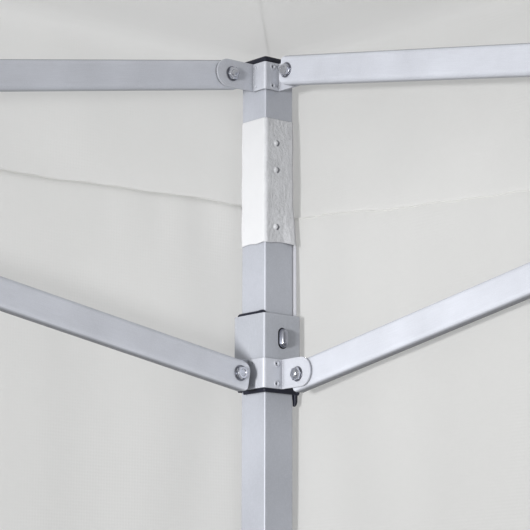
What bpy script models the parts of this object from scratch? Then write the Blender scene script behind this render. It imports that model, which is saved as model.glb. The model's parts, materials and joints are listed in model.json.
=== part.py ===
"""Pop up gazebo, three metres square: telescopic legs, scissor truss bars, roof trusses
with a centre mast, a canopy and a two-sided wall. Metres, +Z up, +X east, +Y north,
origin on the ground under the centre. The frame has four-fold symmetry about Z, so each
piece is made once for the east side or the north-east corner and turned by quarter turns."""
import math

import bmesh
import bpy
from mathutils import Matrix, Vector

# ---- frame
HALF = 1.485            # leg axis to centre, along each axis
TOP = 1.985             # height of the top pivots above the ground
DROP = 0.251            # top pivots to slider pivots, frame open
LOW = TOP - DROP        # height of the slider pivots
PIV_CORNER = 0.040      # leg axis, or side centre inwards, to pivot
PIV_MID = 0.030         # side centre along the side, or hub centre, to pivot
GAP = 0.0003            # clearance between neighbouring parts
SIDES = ("east", "north", "west", "south")
CORNERS = ("ne", "nw", "sw", "se")

# ---- truss bars and their bolts
BAR_LEN = math.hypot(HALF - PIV_CORNER - PIV_MID, DROP)     # pivot to pivot
BAR_H = 0.0248
BAR_T = 0.0117
BAR_WALL = 0.0010
BAR_END = 0.010         # bar end beyond its pivot
BAR_ROUND = 0.0075      # corner radius of the bar ends
PIN_R = 0.0030
HOLE_R = 0.0035
NUT_R = 0.0058
NUT_T = 0.004
HEAD_T = 0.003
SPACER_R = 0.0075       # spacer round the crossing pin
PIN_SINK = 0.0005       # pin start inside the bar wall
HEAD_SINK = 0.0004      # head and spacer overlap with the bar wall
PIN_IN_NUT = 0.001
BOLT_SIDES = 6

# ---- bracket ears and box brackets
EAR_T = 0.0020          # bracket sheet
EAR_R = 0.0120          # half height of a bracket
EAR_HALF = EAR_R - 0.0001   # half height of an ear
EAR_TIP = 0.0155        # ear beyond its pivot
BOX_HALF = 0.016        # half width of the mid bracket and hub boxes
BOX_EAR_ROOT = 0.0151   # ear start, within the box wall

# ---- legs
LEG_HALF = 0.030 / 2    # upper leg tube, half its outside width
LEG_WALL = 0.0012
LEG_CHAMFER = 0.0015
LEG_LEN = 1.500
LEG_TOP = 0.0125        # upper leg end above the top pivots
LEG_HOLE_R = 0.0025
LEG_HOLE_X = -0.0035
LEG_HOLE_DROPS = (0.056, 0.0786, 0.1267)    # below the top pivots
INNER_HALF = 0.025 / 2  # lower leg tube, half its outside width
INNER_LEN = 0.797
FOOT_T = 0.004

# ---- sliders and snap buttons, heights below the top pivots
SLEEVE_HALF = 0.0387 / 2
SLEEVE_WALL = 0.0015
SLEEVE_TOP = 0.1997
SLEEVE_BOTTOM = 0.2640
BUTTON_DROP = 0.2195
BUTTON_R = 0.0040       # half width of the oblong button
BUTTON_HALF = 0.0080    # half height

# ---- cloth
EAVE_HALF = HALF + 0.0265
EAVE_Z = TOP + 0.022
PEAK = EAVE_Z + 0.560
VALANCE_Z = TOP - 0.205     # lower edge of the valance
ROOF_HOLLOW = 0.050
ROOF_T = 0.003              # roof skin, measured upright
ROOF_STEPS = (0.2, 0.4, 0.6, 0.8, 1.0)      # fractions of the way from peak to eave
SIDE_STEPS = 6              # canopy segments along each side
CLOTH = 0.0020
WALL_FACE = HALF + 0.0215   # inner face of the walls
WALL_END = -HALF - 0.005
WALL_BOTTOM = 0.020
WALL_TOP = TOP - 0.104

# ---- cutters
CUT_REACH = 0.010       # cutter beyond the face it enters or leaves
BORE_REACH = 2.0        # half length of a bore through a whole tube

ADD, CUT = "UNION", "DIFFERENCE"

scene = bpy.context.scene
for old in list(bpy.data.objects):
    bpy.data.objects.remove(old)


# ---- objects and materials
def material(name, colour, roughness, metallic):
    result = bpy.data.materials.new(name)
    result.use_nodes = True
    inputs = result.node_tree.nodes["Principled BSDF"].inputs
    inputs["Base Color"].default_value = (*colour, 1)
    inputs["Roughness"].default_value = roughness
    inputs["Metallic"].default_value = metallic
    return result


def make(name, mesh, finish, place=Matrix()):
    """Links an object; a mesh shared by several objects gets its material once."""
    piece = bpy.data.objects.new(name, mesh)
    scene.collection.objects.link(piece)
    if not mesh.materials:
        mesh.materials.append(finish)
    piece.matrix_world = place


def quarter_turn(k):
    return Matrix.Rotation(math.pi / 2 * k, 4, "Z")


def shifted(mesh, x=0.0, y=0.0, z=0.0):
    mesh.transform(Matrix.Translation((x, y, z)))
    return mesh


def four(name, labels, mesh, finish, origin):
    """Four quarter-turned copies of a mesh made in place, with their origin at 'origin'."""
    mesh.transform(Matrix.Translation(-Vector(origin)))
    for k, label in enumerate(labels):
        make(name.format(label), mesh, finish, quarter_turn(k) @ Matrix.Translation(origin))


def four_corners(name, mesh, finish, origin):
    """Corner pieces from a mesh made round the leg axis with z = 0 at the top pivots."""
    four(name, CORNERS, shifted(mesh, HALF, HALF, TOP), finish, origin)


# ---- outlines
def ring(radius, count, x=0.0, y=0.0):
    angles = [2 * math.pi * i / count for i in range(count)]
    return [(x + radius * math.cos(a), y + radius * math.sin(a)) for a in angles]


def rect(x0, x1, y0, y1):
    return [(x0, y0), (x1, y0), (x1, y1), (x0, y1)]


def square(half, chamfer=0.0):
    """Centred square outline of half width 'half', with its corners cut if asked."""
    if chamfer == 0:
        return rect(-half, half, -half, half)
    flat = half - chamfer
    return [(-flat, -half), (flat, -half), (half, -flat), (half, flat),
            (flat, half), (-flat, half), (-half, flat), (-half, -flat)]


def arc(x, y, radius, start, sweep, steps):
    """Points of an arc, both ends included, angles in degrees."""
    angles = [math.radians(start + sweep * i / steps) for i in range(steps + 1)]
    return [(x + radius * math.cos(a), y + radius * math.sin(a)) for a in angles]


def button_outline(grow, steps):
    """Upright oblong of the snap button, grown all round."""
    radius = BUTTON_R + grow
    rise = BUTTON_HALF + grow - radius
    return (arc(0, -BUTTON_DROP + rise, radius, 0, 180, steps)
            + arc(0, -BUTTON_DROP - rise, radius, 180, 180, steps))


# ---- meshes
def skin(rows, triangulate=False):
    """Closed skin over successive loops of points. A first or last row of one point is
    a pole; otherwise the end loops are capped."""
    bm = bmesh.new()
    rows = [[bm.verts.new(point) for point in row] for row in rows]
    if len(rows[0]) > 1:
        bm.faces.new(rows[0])
        bm.faces.new(list(reversed(rows[-1])))
    for a, b in zip(rows, rows[1:]):
        count = max(len(a), len(b))
        for i in range(count):
            j = (i + 1) % count
            if len(a) == 1:
                bm.faces.new((a[0], b[i], b[j]))
            elif len(b) == 1:
                bm.faces.new((a[i], b[0], a[j]))
            else:
                bm.faces.new((a[i], b[i], b[j], a[j]))
    if triangulate:
        bmesh.ops.triangulate(bm, faces=bm.faces)
    bmesh.ops.recalc_face_normals(bm, faces=bm.faces)
    mesh = bpy.data.meshes.new("skin")
    bm.to_mesh(mesh)
    bm.free()
    return mesh


def prism(outline, axis, low, high):
    """Closed prism of a plane outline. The outline is in the two axes after dropping
    the extrusion axis: x -> (y, z), y -> (x, z), z -> (x, y)."""
    slot = "xyz".index(axis)
    return skin([[(*p[:slot], level, *p[slot:]) for p in outline] for level in (low, high)])


def boolean(base, tools):
    """Applies (operation, mesh) cuts and unions in turn and returns one clean mesh."""
    work = bpy.data.objects.new("work", base)
    scene.collection.objects.link(work)
    helpers = [work]
    for operation, mesh in tools:
        cutter = bpy.data.objects.new("cutter", mesh)
        scene.collection.objects.link(cutter)
        modifier = work.modifiers.new(operation, "BOOLEAN")
        modifier.operation = operation
        modifier.object = cutter
        modifier.solver = "EXACT"
        helpers.append(cutter)
    bpy.context.view_layer.update()
    depsgraph = bpy.context.evaluated_depsgraph_get()
    result = bpy.data.meshes.new_from_object(work.evaluated_get(depsgraph))
    for helper in helpers:
        bpy.data.objects.remove(helper)
    bm = bmesh.new()
    bm.from_mesh(result)
    bmesh.ops.remove_doubles(bm, verts=bm.verts, dist=0.00001)
    bmesh.ops.dissolve_limit(bm, angle_limit=0.001, verts=bm.verts, edges=bm.edges)
    bm.to_mesh(result)
    bm.free()
    result.materials.clear()
    return result


def smooth(mesh, degrees):
    mesh.shade_smooth()
    mesh.set_sharp_from_angle(angle=math.radians(degrees))
    return mesh


def bore(half):
    """Square cut along the whole of an upright tube."""
    return CUT, prism(square(half), "z", -BORE_REACH, BORE_REACH)


def side_cut(outline, face, depth=0.006):
    """Cut into the -Y side of a corner piece whose face is at y = -face."""
    return CUT, prism(outline, "y", -face - CUT_REACH, -face + depth)


def ear(root, pivot, plane, axis, direction):
    """Bracket ear: a plate with a round end, from root out to past its pivot, with the
    pivot hole. The outline is in (distance, z); 'plane' is its low side."""
    outline = [(root, -EAR_HALF),
               *arc(pivot + EAR_TIP - EAR_HALF, 0, EAR_HALF, -90, 180, 6),
               (root, EAR_HALF)]
    plate = prism([(direction * x, z) for x, z in outline], axis, plane, plane + EAR_T)
    hole = prism(ring(HOLE_R, 6, direction * pivot), axis,
                 plane - CUT_REACH, plane + EAR_T + CUT_REACH)
    return boolean(plate, [(CUT, hole)])


# ---- materials
leg_steel = material("leg_steel", colour=(0.56, 0.58, 0.62), roughness=0.38, metallic=0.85)
inner_steel = material("inner_leg_steel", colour=(0.50, 0.52, 0.56), roughness=0.36, metallic=0.9)
truss_steel = material("truss_steel", colour=(0.60, 0.62, 0.66), roughness=0.40, metallic=0.8)
slider_steel = material("slider_steel", colour=(0.62, 0.63, 0.66), roughness=0.34, metallic=0.9)
bracket_steel = material("bracket_steel", colour=(0.60, 0.61, 0.64), roughness=0.36, metallic=0.9)
button_steel = material("button_steel", colour=(0.75, 0.76, 0.78), roughness=0.18, metallic=1.0)
liner_black = material("liner_black", colour=(0.012, 0.013, 0.02), roughness=0.45, metallic=0.0)
cap_black = material("cap_black", colour=(0.012, 0.013, 0.02), roughness=0.4, metallic=0.0)
canopy_cloth = material("canopy_cloth", colour=(0.78, 0.79, 0.77), roughness=0.85, metallic=0.0)
wall_cloth = material("wall_cloth", colour=(0.78, 0.79, 0.77), roughness=0.85, metallic=0.0)


# ---- truss bars
def bolt_part(radius, x, low, high):
    return ADD, prism(ring(radius, BOLT_SIDES, x), "y", low, high)


def bolt(x, far, spacer=()):
    """Pin from the bar's near face to a nut at y = far, with a head on the bar's back."""
    return [bolt_part(PIN_R, x, -PIN_SINK, far + PIN_IN_NUT),
            *spacer,
            bolt_part(NUT_R, x, far, far + NUT_T),
            bolt_part(NUT_R, x, -BAR_T - HEAD_T, -BAR_T + HEAD_SINK)]


def bar_mesh(carries_pin):
    """A rectangular tube along local +X from its first pivot at the origin. Its near face
    is y = 0, towards its partner. End pins pass through a bracket ear into a nut; the bar
    with the crossing pin holds its partner, the other has the crossing hole."""
    x0, x1 = -BAR_END + BAR_ROUND, BAR_LEN + BAR_END - BAR_ROUND
    z1 = BAR_H / 2 - BAR_ROUND
    outline = []
    for x, z, start in ((x0, -z1, 180), (x1, -z1, 270), (x1, z1, 0), (x0, z1, 90)):
        outline += arc(x, z, BAR_ROUND, start, 90, 2)
    over = BAR_END + CUT_REACH
    inside = BAR_H / 2 - BAR_WALL
    tools = [(CUT, prism(rect(-over, BAR_LEN + over, -inside, inside),
                         "y", -BAR_T + BAR_WALL, -BAR_WALL))]
    ear_far = GAP + EAR_T + GAP
    middle = BAR_LEN / 2
    if carries_pin:
        spacer = bolt_part(SPACER_R, middle, -HEAD_SINK, ear_far - GAP)
        tools += bolt(middle, ear_far + BAR_T + GAP, [spacer])
    else:
        tools.append((CUT, prism(ring(HOLE_R, BOLT_SIDES, middle),
                                 "y", -BAR_T - CUT_REACH, CUT_REACH)))
    for x in (0.0, BAR_LEN):
        tools += bolt(x, ear_far)
    return smooth(boolean(prism(outline, "y", -BAR_T, 0), tools), 35)


def place_bar(name, mesh, start, end, partner, k):
    """Bar from pivot to pivot; partner is the unit vector towards its pair."""
    along = (Vector(end) - Vector(start)).normalized()
    across = Vector(partner)
    place = Matrix((along, across, along.cross(across))).transposed().to_4x4()
    place.translation = Vector(start)
    make(name, mesh, truss_steel, quarter_turn(k) @ place)


def build_bars():
    """Two crossed pairs on each side and one crossed pair from each side to the hubs."""
    pin_bar, hole_bar = bar_mesh(True), bar_mesh(False)
    near, far = PIV_MID, HALF - PIV_CORNER      # pivots, from the middle of the frame
    inner, outer = HALF - EAR_T - GAP, HALF + GAP       # bar faces either side of an ear
    face = EAR_T / 2 + GAP
    for k, side in enumerate(SIDES):
        left, right = CORNERS[k], CORNERS[k - 1]        # corners at the +Y and -Y ends
        # name, mesh, start, end, direction to partner, all for the east side
        bars = (
            (f"truss_bar_{side}_{left}_upper", pin_bar,
             (inner, near, LOW), (inner, far, TOP), (1, 0, 0)),
            (f"truss_bar_{side}_{left}_lower", hole_bar,
             (outer, near, TOP), (outer, far, LOW), (-1, 0, 0)),
            (f"truss_bar_{side}_{right}_upper", hole_bar,
             (outer, -near, LOW), (outer, -far, TOP), (-1, 0, 0)),
            (f"truss_bar_{side}_{right}_lower", pin_bar,
             (inner, -near, TOP), (inner, -far, LOW), (1, 0, 0)),
            (f"roof_truss_{side}_upper", pin_bar,
             (near, -face, TOP), (far, -face, LOW), (0, 1, 0)),
            (f"roof_truss_{side}_lower", hole_bar,
             (near, face, LOW), (far, face, TOP), (0, -1, 0)),
        )
        for bar in bars:
            place_bar(*bar, k)


# ---- corner pieces
def wrap_bracket(face, z):
    """Sheet bent round the inner arris of a square tube, with an ear along each side's
    plane, as a list of unions."""
    outer, inner = face + EAR_T, face - 0.0005
    fold = outer - 0.002
    edge = EAR_T / 4
    strip = prism([(-outer, -edge), (-outer, -fold), (-fold, -outer), (-edge, -outer),
                   (-edge, -inner), (-inner, -inner), (-inner, -edge)], "z", -EAR_R, EAR_R)
    ears = [ear(outer - 0.0015, PIV_CORNER, -EAR_T, axis, -1) for axis in "yx"]
    return [(ADD, shifted(mesh, z=z)) for mesh in (strip, *ears)]


def build_legs():
    """Upper leg tubes with their top brackets and the cuts in their -Y sides."""
    tube = prism(square(LEG_HALF, LEG_CHAMFER), "z", LEG_TOP - LEG_LEN, LEG_TOP)
    tools = [bore(LEG_HALF - LEG_WALL), *wrap_bracket(LEG_HALF, 0.0),
             side_cut(button_outline(0.0005, 4), LEG_HALF)]
    for drop in LEG_HOLE_DROPS:
        tools.append(side_cut(ring(LEG_HOLE_R, 6, LEG_HOLE_X, -drop), LEG_HALF))
    four_corners("leg_{}", smooth(boolean(tube, tools), 30), leg_steel,
                 (HALF, HALF - PIV_CORNER, TOP))


def build_feet():
    """Lower legs with their foot plates, sliding in the upper legs."""
    # plate outline (x, y) from the leg axis
    plate = [(-0.045, -0.038), (-0.038, -0.045), (0.015, -0.045), (0.0165, -0.0435),
             (0.0165, 0.0145), (0.0145, 0.0165), (-0.0435, 0.0165), (-0.045, 0.015)]
    tube = prism(square(INNER_HALF, 0.0012), "z", FOOT_T - 0.001, INNER_LEN)
    mesh = boolean(tube, [
        (CUT, prism(square(INNER_HALF - LEG_WALL), "z", FOOT_T, BORE_REACH)),
        (ADD, prism(plate, "z", 0, FOOT_T))])
    four("leg_foot_{}", CORNERS, shifted(mesh, HALF, HALF), inner_steel, (HALF, HALF, 0))


def build_sliders():
    """Sleeves with their welded brackets, each round a plastic liner."""
    origin = (HALF, HALF - PIV_CORNER, LOW)
    window = button_outline(0.0008, 4)
    sleeve = prism(square(SLEEVE_HALF, 0.0025), "z", -SLEEVE_BOTTOM, -SLEEVE_TOP)
    tools = [bore(SLEEVE_HALF - SLEEVE_WALL), *wrap_bracket(SLEEVE_HALF, -DROP),
             side_cut(window, SLEEVE_HALF)]
    four_corners("slider_{}", smooth(boolean(sleeve, tools), 30), slider_steel, origin)

    liner = prism(square(SLEEVE_HALF - SLEEVE_WALL - GAP, 0.0015),
                  "z", -SLEEVE_BOTTOM - 0.004, -SLEEVE_TOP + 0.0025)
    collar = prism(square(0.0205, 0.003), "z", -SLEEVE_BOTTOM - 0.0085, -SLEEVE_BOTTOM - GAP)
    tab = prism(rect(0.0155, 0.0200, -0.0200, -0.0120),
                "z", -SLEEVE_BOTTOM - 0.0160, -SLEEVE_BOTTOM - 0.005)
    tools = [(ADD, collar), (ADD, tab), bore(LEG_HALF + GAP),
             side_cut(window, SLEEVE_HALF, 0.009)]
    four_corners("slider_liner_{}", boolean(liner, tools), liner_black, origin)


def build_leg_caps():
    """Plates with a low crown and a plug inside the tube."""
    plug = LEG_HALF - LEG_WALL - 0.0004
    seat = LEG_TOP + GAP
    # z, half width
    levels = ((-0.006, plug), (seat, plug), (seat, LEG_HALF), (seat + 0.002, LEG_HALF),
              (seat + 0.004, LEG_HALF - 0.005))
    rows = [[(x, y, z) for x, y in square(half, LEG_CHAMFER)] for z, half in levels]
    four_corners("leg_cap_{}", skin(rows), cap_black, (HALF, HALF, TOP))


def build_snap_buttons():
    """Oblong pins with a rounded nose and an inner flange, in the leg's -Y wall."""
    # distance from the leg axis towards -Y, growth of the outline
    levels = ((0.0120, 0.0022), (0.0134, 0.0022), (0.0134, 0.0), (0.0225, 0.0),
              (0.0245, -0.0007), (0.0258, -0.0020), (0.0264, -0.0033))
    rows = [[(x, -out, z) for x, z in button_outline(grow, 5)] for out, grow in levels]
    four_corners("snap_button_{}", smooth(skin(rows), 40), button_steel,
                 (HALF, HALF, TOP - BUTTON_DROP))


# ---- box brackets: a short square tube with ears
def box_bracket(*ears):
    """Each ear is (pivot distance, low side, extrusion axis, direction)."""
    box = prism(square(BOX_HALF, 0.0015), "z", -EAR_R, EAR_R)
    return boolean(box, [bore(BOX_HALF - EAR_T),
                         *[(ADD, ear(BOX_EAR_ROOT, *spec)) for spec in ears]])


def build_mid_brackets():
    """Two ears along the side and one towards the hubs."""
    for name, z in (("top", TOP), ("bottom", LOW)):
        mesh = box_bracket((PIV_MID, -EAR_T, "x", 1), (PIV_MID, -EAR_T, "x", -1),
                           (PIV_CORNER, -EAR_T / 2, "y", -1))
        four("mid_bracket_{}_" + name, SIDES, shifted(mesh, HALF, 0, z), bracket_steel,
             (HALF - PIV_CORNER, 0, z))


def hub():
    return box_bracket(*[(PIV_MID, -EAR_T / 2, axis, direction)
                         for axis in "yx" for direction in (1, -1)])


def build_hubs():
    """Upper hub with the mast and its top disc, and the plain lower hub."""
    mast_top = PEAK - 0.012 - TOP
    # radius, z above the top pivots
    profile = ((0, -0.010), (0.0125, -0.010), (0.0125, mast_top - 0.014),
               (0.040, mast_top - 0.016), (0.040, mast_top - 0.012),
               (0.025, mast_top - 0.003), (0, mast_top))
    mast = skin([[(x, y, z) for x, y in ring(radius, 12 if radius else 1)]
                 for radius, z in profile])
    plate = prism(square(BOX_HALF - EAR_T + 0.0008), "z", -0.0118, -0.0060)
    hollow = prism(ring(0.0113, 12), "z", -BORE_REACH, mast_top - 0.020)
    mesh = boolean(hub(), [(ADD, plate), (ADD, mast), (CUT, hollow)])
    make("hub_top_mast", shifted(smooth(mesh, 35), z=TOP), bracket_steel)
    make("hub_bottom", shifted(hub(), x=-PIV_MID), bracket_steel,
         Matrix.Translation((PIV_MID, 0, LOW)))


# ---- canopy and walls
def square_loop(half):
    """Points round a square, anticlockwise from its south-east corner."""
    points = []
    for k in range(4):
        c, s = math.cos(math.pi / 2 * k), math.sin(math.pi / 2 * k)
        for i in range(SIDE_STEPS):
            y = half * (-1 + 2 * i / SIDE_STEPS)
            points.append((half * c - y * s, half * s + y * c))
    return points


def roof_height(x, y, eave):
    """Four slopes rising to the peak, each a little hollow between its hips."""
    far, near = max(abs(x), abs(y)), min(abs(x), abs(y))
    out = far / eave
    along = near / far
    hollow = ROOF_HOLLOW * math.sin(math.pi * min(out, 1)) * (1 - along * along)
    return EAVE_Z + (PEAK - EAVE_Z) * (1 - out) - hollow


def roof_rows(eave, sink):
    return [[(x, y, roof_height(x, y, eave) - sink) for x, y in square_loop(eave * step)]
            for step in ROOF_STEPS]


def build_canopy():
    """A roof skin with a valance, one closed shell open underneath."""
    inner_eave = EAVE_HALF - CLOTH
    rows = [[(0, 0, PEAK)],
            *roof_rows(EAVE_HALF, 0.0),
            *[[(x, y, VALANCE_Z) for x, y in square_loop(half)]
              for half in (EAVE_HALF, inner_eave)],
            *reversed(roof_rows(inner_eave, ROOF_T)),
            [(0, 0, PEAK - ROOF_T)]]
    make("canopy", skin(rows, triangulate=True), canopy_cloth)


def build_walls():
    """East and north walls in one piece, hung inside the valance and round the corner."""
    inner, outer = WALL_FACE, WALL_FACE + CLOTH
    wall = prism([(inner, WALL_END), (outer, WALL_END), (outer, outer), (WALL_END, outer),
                  (WALL_END, inner), (inner, inner)], "z", WALL_BOTTOM, WALL_TOP)
    origin = Vector((HALF, HALF - PIV_CORNER, TOP))
    make("side_walls", shifted(wall, *-origin), wall_cloth, Matrix.Translation(origin))


build_bars()
build_legs()
build_feet()
build_sliders()
build_leg_caps()
build_snap_buttons()
build_mid_brackets()
build_hubs()
build_canopy()
build_walls()
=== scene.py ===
import bpy, bmesh, json, math
import numpy as np
from mathutils import Matrix, Vector

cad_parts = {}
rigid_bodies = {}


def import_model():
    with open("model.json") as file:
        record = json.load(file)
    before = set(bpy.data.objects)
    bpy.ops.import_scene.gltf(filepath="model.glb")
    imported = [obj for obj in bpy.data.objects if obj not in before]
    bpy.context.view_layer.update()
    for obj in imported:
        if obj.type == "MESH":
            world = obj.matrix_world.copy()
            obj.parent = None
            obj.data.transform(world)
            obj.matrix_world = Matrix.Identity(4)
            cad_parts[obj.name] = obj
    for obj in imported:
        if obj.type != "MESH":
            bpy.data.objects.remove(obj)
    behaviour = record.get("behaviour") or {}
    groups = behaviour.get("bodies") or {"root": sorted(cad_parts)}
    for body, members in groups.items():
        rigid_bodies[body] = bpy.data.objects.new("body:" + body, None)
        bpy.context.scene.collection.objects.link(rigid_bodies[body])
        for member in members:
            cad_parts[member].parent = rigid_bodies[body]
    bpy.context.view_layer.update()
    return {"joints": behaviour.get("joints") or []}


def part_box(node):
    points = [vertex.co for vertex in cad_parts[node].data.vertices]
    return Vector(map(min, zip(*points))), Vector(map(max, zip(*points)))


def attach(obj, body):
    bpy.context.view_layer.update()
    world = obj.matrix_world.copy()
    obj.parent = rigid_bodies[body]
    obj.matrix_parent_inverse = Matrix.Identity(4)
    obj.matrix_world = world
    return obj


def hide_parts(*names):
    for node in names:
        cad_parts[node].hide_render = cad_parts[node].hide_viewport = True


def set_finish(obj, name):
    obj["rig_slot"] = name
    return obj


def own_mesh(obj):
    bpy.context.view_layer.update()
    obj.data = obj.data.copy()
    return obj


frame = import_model()
scene = bpy.context.scene

# ------------------------------------------------------------------ places, from the frame
lo_c, hi_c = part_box("leg_cap_ne")
HALF = (lo_c.x + hi_c.x) / 2
JOINT = {j["name"]: j for j in frame["joints"]}
TOP = JOINT["leg_ne_top_pivot"]["pos_m"][2]
LOW = JOINT["slider_ne_pivot"]["pos_m"][2]
DROP = TOP - LOW
PC = HALF - JOINT["leg_ne_top_pivot"]["pos_m"][1]
PM = JOINT["fold"]["pos_m"][0]
BAR_LEN = math.hypot(HALF - PC - PM, DROP)
BAR_H, BAR_T, EAR_T, GAP = 0.0246, 0.0117, 0.0020, 0.0003
EAR_FAR = GAP + EAR_T + GAP
SIDES = ("east", "north", "west", "south")
CORNERS = ("ne", "nw", "sw", "se")
leg_lo, leg_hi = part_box("leg_ne")
foot_lo, foot_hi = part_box("leg_foot_ne")
slv_lo, slv_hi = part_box("slider_ne")
lin_lo, lin_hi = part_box("slider_liner_ne")
can_lo, can_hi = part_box("canopy")
wal_lo, wal_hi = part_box("side_walls")
hub_lo, hub_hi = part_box("hub_top_mast")
but_lo, but_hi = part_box("snap_button_ne")


def turn(k):
    return Matrix.Rotation(math.pi / 2 * k, 4, "Z")


# ------------------------------------------------------------------ materials
class Nodes:
    def __init__(self, name):
        self.m = bpy.data.materials.new(name)
        self.m.use_nodes = True
        self.t = self.m.node_tree
        self.p = self.t.nodes["Principled BSDF"]
        self.out = self.t.nodes["Material Output"]
        self.co = self.t.nodes.new("ShaderNodeTexCoord")

    def node(self, kind, **kw):
        n = self.t.nodes.new(kind)
        for k, v in kw.items():
            if k.startswith("i_"):
                n.inputs[k[2:].replace("_", " ")].default_value = v
            else:
                setattr(n, k, v)
        return n

    def link(self, a, b):
        self.t.links.new(a, b)

    def mapping(self, scale=(1, 1, 1), rot=(0, 0, 0), src="Object"):
        n = self.node("ShaderNodeMapping")
        n.inputs["Scale"].default_value = scale
        n.inputs["Rotation"].default_value = rot
        self.link(self.co.outputs[src], n.inputs["Vector"])
        return n.outputs[0]

    def noise(self, vec, scale, detail=3, rough=0.55):
        n = self.node("ShaderNodeTexNoise")
        n.inputs["Scale"].default_value = scale
        n.inputs["Detail"].default_value = detail
        n.inputs["Roughness"].default_value = rough
        self.link(vec, n.inputs["Vector"])
        return n.outputs["Fac"]

    def ramp(self, fac, stops):
        n = self.node("ShaderNodeValToRGB")
        r = n.color_ramp
        while len(r.elements) < len(stops):
            r.elements.new(0.5)
        for e, (p, c) in zip(r.elements, stops):
            e.position = p
            e.color = c if len(c) == 4 else (*c, 1)
        self.link(fac, n.inputs[0])
        return n.outputs[0]

    def math(self, op, a, b=None, c=None):
        n = self.node("ShaderNodeMath", operation=op)
        for i, v in enumerate((a, b, c)):
            if v is None:
                continue
            if isinstance(v, (int, float)):
                n.inputs[i].default_value = v
            else:
                self.link(v, n.inputs[i])
        return n.outputs[0]

    def mix(self, fac, a, b):
        n = self.node("ShaderNodeMix", data_type="RGBA")
        if isinstance(fac, (int, float)):
            n.inputs[0].default_value = fac
        else:
            self.link(fac, n.inputs[0])
        for i, v in ((6, a), (7, b)):
            if isinstance(v, tuple):
                n.inputs[i].default_value = (*v, 1)
            else:
                self.link(v, n.inputs[i])
        return n.outputs[2]

    def bump(self, height, strength, dist, normal=None):
        n = self.node("ShaderNodeBump")
        n.inputs["Strength"].default_value = strength
        n.inputs["Distance"].default_value = dist
        self.link(height, n.inputs["Height"])
        if normal is not None:
            self.link(normal, n.inputs["Normal"])
        return n.outputs[0]


def metal(name, rgb, rough, metallic, grain=(60, 60, 6), speckle=900, grain_mix=0.10, dirt=0.08, bump=0.10, edge=True, rim_shade=None, gap_shade=0.0):
    """Coated or plated steel: fine speckle, drawing lines along the piece, faint handling marks,
    edges worn a little brighter, and, where asked, painted shade in narrow gaps and along the long edges."""
    n = Nodes(name)
    lines = n.noise(n.mapping(tuple(g * 30 for g in grain)), 1.0, 2)
    cloud = n.noise(n.mapping((1, 1, 1)), 18, 4)
    spots = n.noise(n.mapping((1, 1, 1)), speckle, 2)
    dark = tuple(c * (1 - dirt) for c in rgb)
    light = tuple(min(1, c * (1 + dirt)) for c in rgb)
    col = n.mix(n.ramp(cloud, [(0.3, (0, 0, 0)), (0.7, (1, 1, 1))]), dark, light)
    col = n.mix(n.math("MULTIPLY", n.ramp(lines, [(0.35, (0, 0, 0)), (0.65, (1, 1, 1))]), grain_mix * 2), col, tuple(c * 0.82 for c in rgb))
    col = n.mix(n.math("MULTIPLY", n.ramp(spots, [(0.45, (0, 0, 0)), (0.75, (1, 1, 1))]), 0.35), col, tuple(min(1, c * 1.18) for c in rgb))
    if edge:
        g = n.node("ShaderNodeNewGeometry")
        worn = n.ramp(g.outputs["Pointiness"], [(0.505, (0, 0, 0)), (0.56, (1, 1, 1))])
        col = n.mix(n.math("MULTIPLY", worn, 0.5), col, tuple(min(1, c * 1.35) for c in rgb))
    if gap_shade:
        # painted shade: base colour darkened where ambient occlusion finds narrow gaps between pieces
        ao = n.node("ShaderNodeAmbientOcclusion", samples=6)
        ao.inputs["Distance"].default_value = gap_shade
        col = n.mix(n.ramp(ao.outputs["AO"], [(0.22, (0, 0, 0)), (0.72, (1, 1, 1))]), tuple(c * 0.16 for c in rgb), col)
    if rim_shade:
        # painted shade along the long edges, darkening the base colour near the top and bottom: (axis, half height,
        # band, strength)
        sx = n.node("ShaderNodeSeparateXYZ")
        n.link(n.co.outputs["Object"], sx.inputs[0])
        near = n.math("DIVIDE", n.math("SUBTRACT", n.math("ABSOLUTE", sx.outputs[rim_shade[0]]), rim_shade[1] - rim_shade[2]), rim_shade[2])
        near = n.math("MINIMUM", n.math("MAXIMUM", near, 0.0), 1.0)
        col = n.mix(n.math("MULTIPLY", near, rim_shade[3]), col, tuple(c * 0.18 for c in rgb))
    n.link(col, n.p.inputs["Base Color"])
    n.p.inputs["Metallic"].default_value = metallic
    n.p.inputs["Specular IOR Level"].default_value = 0.5 if metallic > 0.6 else 0.32
    r = n.math("ADD", n.math("MULTIPLY", cloud, 0.16), rough - 0.08)
    r = n.math("ADD", r, n.math("MULTIPLY", lines, 0.08))
    n.link(r, n.p.inputs["Roughness"])
    b = n.bump(spots, bump, 0.0003)
    b = n.bump(lines, bump * 0.6, 0.0002, b)
    n.link(b, n.p.inputs["Normal"])
    return n.m


def plastic(name, rgb, rough):
    n = Nodes(name)
    grain = n.noise(n.mapping((1, 1, 1)), 700, 3)
    cloud = n.noise(n.mapping((1, 1, 1)), 60, 3)
    col = n.mix(cloud, tuple(c * 0.8 for c in rgb), tuple(c * 1.25 for c in rgb))
    n.link(col, n.p.inputs["Base Color"])
    n.link(n.math("ADD", n.math("MULTIPLY", cloud, 0.2), rough - 0.1), n.p.inputs["Roughness"])
    n.p.inputs["Specular IOR Level"].default_value = 0.28
    n.link(n.bump(grain, 0.25, 0.0003), n.p.inputs["Normal"])
    return n.m


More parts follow.
